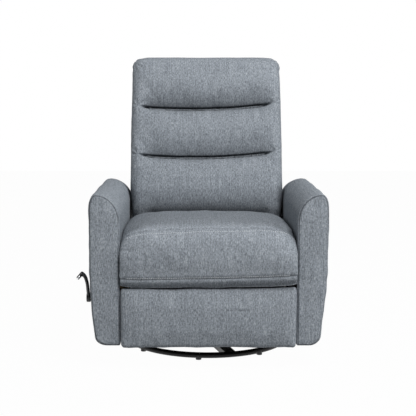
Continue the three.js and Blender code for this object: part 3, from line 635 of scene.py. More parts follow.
def new_object(name: str, data: Any, place: Sequence[float] = ORIGIN) -> Object:
    """Makes an object and puts it in the scene.

    Args:
        name: its name.
        data: its mesh, light or camera.
        place: its location.

    Returns:
        The object.
    """
    obj = bpy.data.objects.new(name, data)
    obj.location = place
    bpy.context.scene.collection.objects.link(obj)
    return obj


def mesh_object(name: str, places: Sequence[Any], faces: Sequence[Sequence[int]]) -> Object:
    """Makes an object from its vertices and faces.

    Args:
        name: its name.
        places: its vertices.
        faces: the vertex numbers of each face.

    Returns:
        The object.
    """
    mesh = bpy.data.meshes.new(name)
    mesh.from_pydata(places, [], faces)
    return new_object(name, mesh)


def turn_faces(obj: Object, flip: bool = False) -> None:
    """Points the faces of a closed mesh outwards.

    Args:
        obj: a mesh object.
        flip: turns every face over instead, as a mirrored mesh needs.
    """
    select_only(obj)
    bpy.ops.object.mode_set(mode="EDIT")
    bpy.ops.mesh.select_all(action="SELECT")
    if flip:
        bpy.ops.mesh.flip_normals()
    else:
        bpy.ops.mesh.normals_make_consistent(inside=False)
    bpy.ops.object.mode_set(mode="OBJECT")


def outline(*runs: tuple[Any, ...]) -> Array:
    """Joins runs of points, each given by its coordinates as arrays or numbers, into one outline."""
    return np.concatenate([np.stack(np.broadcast_arrays(*run), 1) for run in runs])


def inner_steps(start: float, end: float, count: int) -> Array:
    """Evenly spaced places between two ends, without the ends."""
    return np.linspace(start, end, count + 2)[1:-1]


def rounding(x: float, half: float, width: float, power: float = 2.0) -> float:
    """How far a rounded edge has fallen at x, from 0 where it starts to 1 at half."""
    past = min(1.0, max(0.0, abs(x) - half + width) / width)
    return 1.0 - math.sqrt(1.0 - past**power)


def smooth(low: Any, high: Any, value: Any) -> Any:
    """A smooth step from 0 at low to 1 at high."""
    share = np.clip((value - low) / (high - low), 0.0, 1.0)
    return share * share * (3.0 - 2.0 * share)


def bell(value: Any, width: float) -> Any:
    """A bell curve that is 1 at 0 and has fallen to about a third at its width."""
    return np.exp(-((value / width) ** 2))


def waves(u: Array, v: Array, length: float, seed: int, count: int = 7) -> Array:
    """A smooth uneven field from a few crossed waves.

    Args:
        u: the first coordinate.
        v: the second coordinate.
        length: the typical length of a wave.
        seed: picks the directions.
        count: how many waves are summed.

    Returns:
        The field, from about -1 to 1.
    """
    rng = np.random.default_rng(seed)
    total = np.zeros(np.broadcast(u, v).shape)
    for _ in range(count):
        angle = rng.uniform(0.0, math.tau)
        turns = math.tau / (length * rng.uniform(0.7, 1.5))
        total += np.sin((u * math.cos(angle) + v * math.sin(angle)) * turns + rng.uniform(0.0, math.tau))
    return total / math.sqrt(count)


def unevenness(u: Array, v: Array, broad: Pair, close: Pair, seed: int) -> Array:
    """The unevenness of stuffed cloth: broad waves with closer ones on them.

    Args:
        u: the first coordinate.
        v: the second coordinate.
        broad: the depth and the length of the broad waves.
        close: the depth and the length of the closer waves.
        seed: picks the directions, and the next seed those of the closer waves.

    Returns:
        The height at each place.
    """
    return broad[0] * waves(u, v, broad[1], seed) + close[0] * waves(u, v, close[1], seed + 1)


def skin_object(name: str, loops: Array, cap_shares: Sequence[float] = CAP_SHARES) -> Object:
    """Makes a closed skin from a stack of loops.

    Args:
        name: the object's name.
        loops: an array of loops, each with equally many points.
        cap_shares: sizes of the rings that close each end.

    Returns:
        The new object.
    """
    def rings(loop: Array) -> list[Array]:
        """Smaller copies of an end loop, which close it."""
        middle = loop.mean(0)
        return [middle + (loop - middle) * share for share in cap_shares]

    stack = rings(loops[0])[::-1] + list(loops) + rings(loops[-1])
    count = loops.shape[1]
    places = np.concatenate(stack + [loops[0].mean(0)[None], loops[-1].mean(0)[None]])
    around = np.arange(count)
    after = (around + 1) % count
    faces: list[Sequence[int]] = []
    for ring in range(len(stack) - 1):
        a = ring * count
        faces += np.stack([a + around, a + after, a + count + after, a + count + around], 1).tolist()
    first, last = len(stack) * count, len(stack) * count + 1
    end = (len(stack) - 1) * count
    faces += [(first, int(b), int(a)) for a, b in zip(around, after)]
    faces += [(last, int(end + a), int(end + b)) for a, b in zip(around, after)]
    obj = mesh_object(name, places.tolist(), faces)
    turn_faces(obj)
    return obj


def weave_map(obj: Object) -> None:
    """Gives a piece the map that its weave follows: over the front and top, and apart on the sides.

    Args:
        obj: a mesh object.
    """
    mesh = obj.data
    facing = values_of(mesh.polygons, "normal", 3)
    counts = values_of(mesh.polygons, "loop_total", 1, int).ravel()
    corners = values_of(mesh.loops, "vertex_index", 1, int).ravel()
    sideways = np.repeat(np.abs(facing[:, 0]) > SIDE_FACING, counts)
    behind = np.sign(0.001 - facing[:, 1])
    lean = np.repeat(np.where(facing[:, 2] * behind < -UNDER_FACING, -1.0, 1.0), counts)
    point = places_of(obj)[corners]
    along = np.where(sideways, point[:, 1], point[:, 0])
    up = np.where(sideways, point[:, 2], point[:, 2] + lean * point[:, 1])
    layer = mesh.uv_layers.new(name=WEAVE_MAP)
    layer.uv.foreach_set("vector", np.stack([along, up], 1).ravel())


def paint_shade(obj: Object, values: Array) -> None:
    """Writes how much shade is painted on each vertex, in its seams, folds and gaps, from 0 to 1."""
    attribute = obj.data.attributes.new(PAINTED_SHADE_ATTRIBUTE, "FLOAT", "POINT")
    attribute.data.foreach_set("value", np.clip(values, 0.0, 1.0).astype(np.float32))


def swell(obj: Object, pinned: Array, cap: float, share: Any, slack: float = 0.02) -> None:
    """Swells a pad like stuffed cloth.

    Args:
        obj: the pad.
        pinned: how firmly each vertex is held, from 0 to 1.
        cap: how far the cloth may move a vertex.
        share: how much of that move the pad takes.
        slack: how much larger the cloth is than its form.
    """
    start = places_of(obj)
    trial = new_object(f"{obj.name}_trial", obj.data.copy())
    group = trial.vertex_groups.new(name="held")
    for level in np.unique(np.round(pinned, 1)):
        if level > 0.0:
            chosen = np.nonzero(np.round(pinned, 1) == level)[0]
            group.add(chosen.tolist(), float(level), "REPLACE")
    cloth = trial.modifiers.new("cloth", "CLOTH")
    rules = cloth.settings
    for key, value in STUFFED_CLOTH.items():
        setattr(rules, key, value)
    rules.shrink_min = -slack
    rules.vertex_group_mass = group.name
    rules.effector_weights.gravity = 0.0
    cloth.collision_settings.use_collision = False
    cloth.point_cache.frame_start = 1
    cloth.point_cache.frame_end = SWELL_FRAMES
    scene = bpy.context.scene
    for moment in range(1, SWELL_FRAMES + 1):
        scene.frame_set(moment)
    select_only(trial)
    bpy.ops.object.modifier_apply(modifier=cloth.name)
    moves = places_of(trial) - start
    scene.frame_set(1)
    bpy.data.objects.remove(trial)
    length = np.linalg.norm(moves, axis=1, keepdims=True)
    put_places(obj, start + moves * np.minimum(1.0, cap / np.maximum(length, 1e-9)) * share)


class Piece:
    """Ends a piece: its finish, its shading and its body."""

    def __init__(self, finishes: dict[str, Material]) -> None:
        """Keeps the finishes."""
        self.finishes = finishes

    def dress(
        self,
        obj: Object,
        finish: str,
        body: Body,
        slot: Slot,
        stands_for: Iterable[str] = (),
        angle: float = 40.0,
    ) -> None:
        """Gives a piece its material, shading and body, and hides the CAD nodes that it replaces.

        Args:
            obj: the piece.
            finish: the material's short name.
            body: the body that it rides on.
            slot: not used.
            stands_for: CAD nodes that it replaces.
            angle: edges sharper than this stay sharp, in degrees.
        """
        obj.data.materials.clear()
        obj.data.materials.append(self.finishes[finish])
        select_only(obj)
        bpy.ops.object.shade_smooth_by_angle(angle=math.radians(angle))
        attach(obj, body.value)
        if stands_for:
            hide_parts(*stands_for)
        log.info("%s: %d faces on %s", obj.name, len(obj.data.polygons), body.value)


@dataclass(frozen=True)
class ChairFrame:
    """Turns chair places, measured from the swivel axis, into the frame of the model."""

    shift_x: float
    shift_y: float

    def point(self, x: Any, forward: Any, up: Any) -> Array:
        """A place from its distance to the right, forward and above the floor."""
        x, forward, up = np.broadcast_arrays(x, forward, up)
        return np.stack([x + self.shift_x, self.shift_y - forward, up], -1)

    def split(self, places: Array) -> tuple[Array, Array, Array]:
        """Distances to the right, forward and up of some places."""
        return places[:, 0] - self.shift_x, self.shift_y - places[:, 1], places[:, 2]


def chair_frame() -> ChairFrame:
    """Finds the chair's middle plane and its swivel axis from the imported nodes.

    Returns:
        The frame.
    """
    low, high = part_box("seat_cushion")
    plate_low, plate_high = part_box("swivel_plate")
    return ChairFrame((low[0] + high[0]) / 2.0, (plate_low[1] + plate_high[1]) / 2.0)


@dataclass
class Part:
    """A part of the chair, which knows where the chair stands and how pieces are ended."""

    chair: ChairFrame
    piece: Piece


# Upholstery


@dataclass
class SeatCushion(Part):
    """The seat cushion: crowned top, round nose, front drop and two topstitched seams."""

    half_width: float = 0.2895
    front: float = 0.445
    rear: float = field(init=False)
    top: float = 0.479
    under: float = 0.3859
    drop_inner: float = 0.420
    drop_bottom: float = 0.285
    shoulder: float = 0.074
    shoulder_drop: float = 0.034
    front_fall: float = 0.022
    side_fall_width: float = 0.12
    fall_run: Pair = (0.24, 0.40)
    side_hold: Pair = (0.93, 0.99)
    edge_draw: float = 0.008
    lean: float = 0.0028
    crown: float = 0.009
    nose: float = 0.058
    belly: float = 0.006
    rear_fall: float = 0.011
    rear_round: float = 0.018
    drop_round: float = 0.032
    drop_tuck: float = 0.017
    stations: int = 92
    seam_forward: float = 0.409
    seam_up: float = 0.4695
    seam_aim: Pair = (0.82, 0.57)
    seam_skew: Pair = (0.010, 0.003)
    low_seam_up: float = 0.3135
    low_seam_bend: Pair = (0.006, 0.002)
    seam_width: float = 0.0032
    seam_depth: float = 0.0026
    off_seam: float = 1.0
    puff: float = 0.0014
    gather: float = 0.0005
    gather_pitch: float = 0.011
    hem_tuck: float = 0.004
    corner_crease: float = 0.0022
    seam_shade: float = 0.20
    hem_shades: Pair = (0.11, 0.16)
    top_shade: float = 0.19
    broad: Pair = (0.0011, 0.16)
    close: Pair = (0.0004, 0.05)

    def __post_init__(self) -> None:
        """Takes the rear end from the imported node."""
        self.rear = self.chair.shift_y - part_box("seat_cushion")[1][1]

    def loops(self) -> Array:
        """Side-view loops across the seat."""
        shares = np.linspace(-0.5, 0.5, self.stations + 1)
        return np.stack([self.loop(self.half_width * math.sin(share * math.pi)) for share in shares])

    def loop(self, x: float) -> Array:
        """One side-view loop.

        Args:
            x: its distance to the right.

        Returns:
            Its points.
        """
        round_off = rounding(x, self.half_width, self.shoulder, 2.4)
        tilt = x / self.half_width
        top = self.top - self.crown * tilt**2 - self.shoulder_drop * round_off
        past = np.clip((abs(x) - self.half_width + self.side_fall_width) / self.side_fall_width, 0.0, 1.0)
        fall = self.front_fall * past**2.2
        front = self.front - self.edge_draw * round_off
        bottom = self.drop_bottom + self.edge_draw * round_off + self.lean * (tilt - 1.0)
        low = bottom + self.drop_round
        rear_top = top - self.rear_fall
        edge_up = rear_top - self.rear_round
        rear_run = self.rear + self.rear_round
        quarter = np.linspace(0.0, QUARTER_TURN, 9)
        coarse, fine = quarter[::2], np.linspace(0.0, QUARTER_TURN, 19)
        level, upright = inner_steps(0.0, 1.0, 42), inner_steps(0.0, 1.0, 20)
        rise = self.rear_fall * np.sin(level * QUARTER_TURN)
        bulge = self.belly * np.sin(upright * math.pi) * (1.0 - round_off)
        side = outline(
            (self.drop_inner, np.linspace(bottom + 0.002, self.under, 8)),
            (np.linspace(self.drop_inner, self.rear, 24)[1:], self.under),
            (self.rear, inner_steps(self.under, edge_up, 4)),
            (rear_run - self.rear_round * np.cos(coarse), edge_up + self.rear_round * np.sin(coarse)),
            (rear_run + (front - self.nose - rear_run) * level, rear_top + rise),
            (front - self.nose * (1.0 - np.sin(fine)), top - self.nose * (1.0 - np.cos(fine))),
            (front + bulge, top - self.nose + (low - top + self.nose) * upright),
            (front - self.drop_tuck * (1.0 - np.cos(quarter)), low - self.drop_round * np.sin(quarter)),
        )
        ahead = smooth(*self.fall_run, side[:, 0])
        side[:, 1] -= fall * ahead * smooth(self.under + 0.01, self.under + 0.04, side[:, 1])
        return self.chair.point(x, side[:, 0], side[:, 1])

    def seam_place(self, x: Any) -> tuple[Any, Any]:
        """Where the upper seam runs."""
        tilt = x / self.half_width
        return self.seam_forward - self.seam_skew[0] * tilt, self.seam_up + self.seam_skew[1] * tilt

    def low_seam_height(self, x: Any) -> Any:
        """How high the lower seam runs at a distance to the right."""
        tilt = x / self.half_width
        return self.low_seam_up + self.low_seam_bend[0] * tilt + self.low_seam_bend[1] * tilt**2

    def seam_offsets(self, places: Array) -> tuple[Array, Array]:
        """Distances from the two seams, along the surface.

        Args:
            places: one row for each place.

        Returns:
            The distances from the upper and the lower seam.
        """
        x, forward, up = self.chair.split(places)
        seam_forward, seam_up = self.seam_place(x)
        upper = (forward - seam_forward) * self.seam_aim[0] - (up - seam_up) * self.seam_aim[1]
        upper = np.where((forward > 0.34) & (up > 0.40), upper, self.off_seam)
        lower = np.where(forward > 0.43, up - self.low_seam_height(x), self.off_seam)
        return upper, lower

    def make(self) -> Object:
        """Builds the cushion.

        Returns:
            The piece.
        """
        obj = skin_object("seat_pad", self.loops())
        x, forward, up = self.chair.split(places_of(obj))
        across = np.abs(x) / self.half_width
        at_side = smooth(*self.side_hold, across)
        held = np.maximum(at_side, (forward < self.rear + 0.02) | (up < self.under + 0.01))
        held = np.where((forward > 0.43) & (up > 0.30), at_side, held)
        upper, lower = self.seam_offsets(places_of(obj))
        held = np.maximum(held, np.maximum(bell(upper, 0.004), bell(lower, 0.004)))
        swell(obj, held, cap=0.022, share=0.45)
        refine(obj)
        self.carve(obj)
        weave_map(obj)
        self.piece.dress(obj, "linen", Body.SEAT, Slot.UPHOLSTERY, ["seat_cushion"], PAD_ANGLE)
        return obj

    def carve(self, obj: Object) -> None:
        """Sinks the seams, adds the fine unevenness of stuffed cloth and paints shade into the seams, the
        strip below the lower seam and the top.

        Args:
            obj: the cushion.
        """
        places = places_of(obj)
        x, forward, up = self.chair.split(places)
        upper, lower = self.seam_offsets(places)
        across = np.abs(x) / self.half_width
        seams = np.maximum(bell(upper, self.seam_width), bell(lower, self.seam_width))
        puff = self.puff * (bell(np.abs(upper) - 0.014, 0.010) + bell(np.abs(lower) - 0.012, 0.008))
        near_seams = bell(upper, 0.018) + bell(lower, 0.014)
        gathers = self.gather * np.sin(x / self.gather_pitch + 2.0 * np.sin(x / 0.05)) * near_seams
        uneven = unevenness(x, up - forward, self.broad, self.close, 5)
        edge_ease = 1.0 - smooth(0.95, 1.0, across)
        open_side = np.where((forward > self.drop_inner + 0.004) | (up > self.under + 0.02), 1.0, 0.0)
        tuck = -self.hem_tuck * smooth(0.0, -0.028, lower) * (lower < self.off_seam) * (forward > 0.43)
        crease = -self.corner_crease * bell(up - 0.402 - 0.02 * (1.0 - across), 0.006)
        crease = crease * smooth(0.80, 0.97, across) * (forward > 0.42)
        move = (puff + gathers + uneven * edge_ease + tuck + crease) * open_side - self.seam_depth * seams
        shift_places(obj, move)
        # painted shade: the top darker towards the back, the strip below the lower seam darker where it turns
        # under, and the seams darker
        top = smooth(0.40, 0.34, forward) * (up > 0.44)
        hem = self.hem_shades[0] * smooth(-0.002, -0.006, lower) * (forward > 0.40)
        hem = hem + self.hem_shades[1] * smooth(-0.018, -0.026, lower) * (forward > 0.40)
        paint_shade(obj, np.maximum(seams * self.seam_shade + hem, top * self.top_shade))


@dataclass
class BackPad(Part):
    """The back cushion: three rolls that sag over two sewn channels."""

    hinge_back: float = 0.175
    hinge_up: float = 0.300
    rake: float = math.radians(14.0)
    bottom: float = 0.062
    height: float = 0.6903
    half_width: float = 0.2895
    narrowing: float = 0.0035
    depth: float = 0.122
    thinning: float = 0.024
    rear: float = 0.0363
    rear_edge: float = 0.006
    edge_round: float = 0.044
    side_round: float = 0.040
    channel_shares: Pair = (0.418, 0.693)
    channel_depth: float = 0.058
    underside: float = 0.100
    shoulder: float = 0.046
    low_dip: float = 0.052
    low_crease: float = 0.070
    slit: float = 0.013
    channel_lift: float = 0.019
    channel_tilt: float = 0.0062
    sag: float = 0.021
    low_draw: float = 0.016
    low_draw_height: float = 0.170
    low_reach: Pair = (0.108, 0.036)
    top_reach: float = 0.12
    top_dip: float = 0.010
    belly: float = 0.004
    crowding: float = 0.55
    row_counts: tuple[int, int, int] = (44, 36, 40)
    top_steps: tuple[float, ...] = (0.030, 0.021, 0.013, 0.007, 0.003, 0.0)
    fold_ends: Pair = (0.70, 0.935)
    slit_width: float = 0.0036
    slit_ends: Pair = (0.66, 0.93)
    gather_pitch: float = 0.0105
    star_share: float = 0.915
    star_rays: float = 0.0017
    star_sink: float = 0.0034
    streak: float = 0.0018
    pleat: float = 0.0016
    corner: Pair = (0.955, 0.030)
    seam_place: float = 0.030
    seam_depth: float = 0.0018
    above_shades: Pair = (0.48, 0.26)
    below_shade: float = 0.32
    low_shade: float = 0.61
    side_shade: float = 0.85
    broad: Pair = (0.0014, 0.17)
    close: Pair = (0.0005, 0.055)
    across_points: int = 96

    def draw(self, share: Array) -> Array:
        """How far the edges draw in near the ends.

        Args:
            share: places as shares of the height.

        Returns:
            The draw.
        """
        def edge(distance: Array) -> Array:
            """The draw of a round edge at a distance from its end."""
            rest = np.maximum(0.0, self.edge_round - distance)
            return self.edge_round - np.sqrt(self.edge_round**2 - rest**2)

        low = self.low_draw * np.clip(1.0 - share * self.height / self.low_draw_height, 0.0, 1.0) ** 1.7
        return np.maximum(edge((1.0 - share) * self.height), low)

    def fading(self, across: Array) -> Array:
        """How strong the folds still are at a place over the width, from 1 to 0."""
        return 1.0 - smooth(*self.fold_ends, np.abs(across))

    def channel_gaps(self, across: Array, up: Array) -> list[Array]:
        """Distances above each channel's line."""
        line = self.channel_lift * across**2 + self.channel_tilt * across
        return [up - share * self.height - line for share in self.channel_shares]

    def front(self, across: Array, up: Array) -> Array:
        """How far the front stands ahead of the hinge plane.

        Args:
            across: from -1 to 1 over the width.
            up: the place along the back from its lower edge.

        Returns:
            The distance.
        """
        def nearness(gap: Array, above: float, below: float) -> Array:
            """How near a line is, from 0 at its reach above or below it to 1 on it."""
            return np.clip(1.0 - np.abs(gap) / np.where(gap > 0.0, above, below), 0.0, 1.0)

        share = up / self.height
        fade = self.fading(across)
        dip = np.zeros(np.broadcast(across, up).shape)
        for gap in self.channel_gaps(across, up):
            near = nearness(gap, self.underside, self.shoulder)
            dip = np.maximum(dip, 1.0 - np.sqrt(1.0 - near ** np.where(gap > 0.0, 1.5, 2.3)))
        low_end = nearness(up - self.low_crease, *self.low_reach)
        top_end = np.clip(1.0 - (self.height - up) / self.top_reach, 0.0, 1.0)
        ends = self.low_dip * (1.0 - np.sqrt(1.0 - low_end**1.6)) * fade + self.top_dip * top_end**2
        belly = self.belly * (1.0 - across**2)
        return self.depth - self.thinning * share - self.channel_depth * dip * fade - ends + belly

    def loops(self) -> Array:
        """Level loops up the back, in the back's own frame.

        Returns:
            An array of loops with (x, rearward, along the back) points.
        """
        bounds = [0.0, *self.channel_shares, 1.0]
        rows: list[float] = []
        for low, high, count in zip(bounds, bounds[1:], self.row_counts):
            share = np.linspace(0.0, 1.0, count, endpoint=False)
            crowd = share - self.crowding * np.sin(share * math.tau) / math.tau
            rows += (low + (high - low) * crowd).tolist()
        shares = np.sort(np.concatenate([rows[:-2], 1.0 - np.array(self.top_steps)]))
        return np.stack([self.loop(share) for share in shares])

    def loop(self, share: float) -> Array:
        """One level loop.

        Args:
            share: its place as a share of the height.

        Returns:
            Its points as (x, rearward, along the back).
        """
        across = np.sin((np.linspace(0.0, 1.0, self.across_points + 1) - 0.5) * math.pi)
        draw = float(self.draw(np.array(share)))
        wide = self.half_width - self.narrowing * smooth(self.channel_shares[0], 1.0, share) - draw
        up = share * self.height
        level = np.full_like(across, up)
        corner = np.maximum(0.0, 1.0 - (1.0 - np.abs(across)) * wide / self.side_round)
        y = self.side_round * (1.0 - np.sqrt(1.0 - corner**2)) - (self.front(across, level) - draw)
        fall = np.zeros_like(across)
        for gap in self.channel_gaps(across, level):
            fall += np.where(gap > 0.0, np.clip(gap / 0.010, 0.0, 1.0) * np.exp(-gap / 0.034), 0.0)
        z = self.bottom + up - self.sag * fall * self.fading(across)
        rear = self.rear - 0.4 * draw
        side = np.linspace(y[-1], rear - self.rear_edge, 9)[1:]
        return outline(
            (across * wide, y, z),
            (wide, side, z[-1]),
            (np.linspace(wide - self.rear_edge, self.rear_edge - wide, 22), rear, self.bottom + up),
            (-wide, side[::-1], z[0]),
        )

    def to_model(self, local: Array) -> Array:
        """Turns places of the back's own frame into the model's.

        Args:
            local: places as (x, rearward, along the back), over any leading axes.

        Returns:
            The places in the model's frame.
        """
        c, s = math.cos(self.rake), math.sin(self.rake)
        y = local[..., 1] * c + local[..., 2] * s
        z = local[..., 2] * c - local[..., 1] * s
        return self.chair.point(local[..., 0], -self.hinge_back - y, self.hinge_up + z)

    def to_local(self, places: Array) -> Array:
        """Turns places of the model's frame into the back's own.

        Args:
            places: one row for each place.

        Returns:
            The places as (x, rearward, along the back).
        """
        x, forward, up = self.chair.split(places)
        y, z = -forward - self.hinge_back, up - self.hinge_up
        c, s = math.cos(self.rake), math.sin(self.rake)
        return np.stack([x, y * c - z * s, y * s + z * c], 1)

    def make(self) -> None:
        """Builds the back cushion."""
        obj = skin_object("back_cushion", self.to_model(self.loops()))
        local = self.to_local(places_of(obj))
        across = local[:, 0] / self.half_width
        gaps = self.channel_gaps(across, local[:, 2] - self.bottom)
        sewn = np.maximum(*(bell(gap, 0.007) for gap in gaps)) * self.fading(across)
        held = np.maximum(smooth(-0.02, 0.01, local[:, 1]), sewn)
        held = np.maximum(held, smooth(0.955, 0.995, np.abs(across)))
        calm = 1.0 - 0.85 * smooth(self.height - 0.16, self.height - 0.03, local[:, 2] - self.bottom)
        swell(obj, held, cap=0.024, share=(0.4 * calm)[:, None], slack=0.03)
        refine(obj)
        self.carve(obj)
        weave_map(obj)
        self.piece.dress(obj, "linen", Body.BACK, Slot.UPHOLSTERY, ["back_pad"], PAD_ANGLE)

    def carve(self, obj: Object) -> None:
        """Adds the gathers along the channels, at their ends and at the upper corners, and paints the shade
        of the channels, the rolls, the gaps beside the arms and the side seams.

        Args:
            obj: the cushion.
        """
        local = self.to_local(places_of(obj))
        x, up = local[:, 0], local[:, 2] - self.bottom
        across = x / self.half_width
        wide = np.abs(across)
        facing = smooth(0.25, 0.6, -normals_of(obj)[:, 1])
        uneven = unevenness(x, up, self.broad, self.close, 11)
        move = uneven * (0.35 + 0.65 * facing)
        # painted shade: dark channels, shade under each roll and above the seat, and dark bands beside the
        # arms
        fold_shade = np.zeros(len(x))
        for number, gap in enumerate(self.channel_gaps(across, up)):
            move = move + self.channel_move(number, gap, x, across, facing)
            fold_shade = np.maximum(fold_shade, self.channel_shade(number, gap, wide))
        above_crease = np.maximum(up - self.low_crease - 0.012, 0.0)
        fold_shade = np.maximum(fold_shade, self.low_shade * np.exp(-above_crease / 0.036))
        side = smooth(0.87, 0.99, wide) * (1.0 - smooth(0.10, 0.235, up))
        fold_shade = np.maximum(fold_shade, self.side_shade * side)
        corner_x = (wide - self.corner[0]) * self.half_width
        corner_z = up - (self.height - self.corner[1])
        angle = np.arctan2(corner_z, -corner_x)
        pleats = np.sin(angle * 9.0 + x * 30.0) * bell(np.hypot(corner_x, corner_z) - 0.026, 0.020)
        seam = bell(local[:, 1] - (self.side_round - self.depth + self.seam_place), 0.0028)
        seam = seam * smooth(0.93, 0.985, wide)
        shift_places(obj, move + self.pleat * pleats - self.seam_depth * seam)
        # painted shade along the side seams too
        paint_shade(obj, np.maximum(fold_shade * 1.1, seam * 0.5))

    def channel_move(
        self, number: int, gap: Array, x: Array, across: Array, facing: Array
    ) -> Array:
        """The slit of one channel, its gathers, and the star of puckers at each end.

        Args:
            number: the channel's number from below.
            gap: distances above its line.
            x: distances to the right.
            across: from -1 to 1 over the width.
            facing: how much each vertex faces forward.

        Returns:
            How far each vertex moves along its normal.
        """
        wide = np.abs(across)
        phase = x / self.gather_pitch + 1.7 * np.sin(x / 0.043 + number)
        near = np.where(gap < 0.0, np.exp(gap / 0.014), np.exp(-gap / 0.010))
        ripple = np.sin(phase) * near * (0.0004 + 0.0019 * bell(wide - 0.83, 0.09))
        move = ripple * (1.0 - smooth(0.93, 1.0, wide)) * facing
        move = move - self.slit * bell(gap, self.slit_width) * (1.0 - smooth(*self.slit_ends, wide))
        star_x = (wide - self.star_share) * self.half_width
        distance = np.hypot(star_x, gap)
        rays = np.sin(6.0 * np.arctan2(gap, -star_x) + 1.4 * number + np.sign(across))
        rays = rays * bell(distance - 0.017, 0.012)
        streak = bell(gap + 0.16 * star_x, 0.0035) * smooth(0.0, -0.012, -star_x) * bell(star_x, 0.030)
        star = self.star_rays * rays - self.star_sink * bell(distance, 0.015) - self.streak * streak
        return move + star * facing

    def channel_shade(self, number: int, gap: Array, wide: Array) -> Array:
        """How much shade is painted into one channel and the cloth above and below it.

        Args:
            number: the channel's number from below.
            gap: distances above its line.
            wide: distances from the middle as shares of the half width.

        Returns:
            The painted shade, from 0 to 1.
        """
        crease = np.where(gap > 0.0, np.exp(-gap / 0.008), np.exp(gap / 0.0028))
        above = (self.above_shades[0] + self.above_shades[1] * number) * np.exp(-gap / 0.027)
        shade = np.where(gap > 0.0, above, self.below_shade * np.exp(gap / 0.020))
        crease = crease * (1.0 - smooth(*self.slit_ends, wide))
        return np.maximum(crease, shade * (1.0 - smooth(0.64, 0.95, wide)))


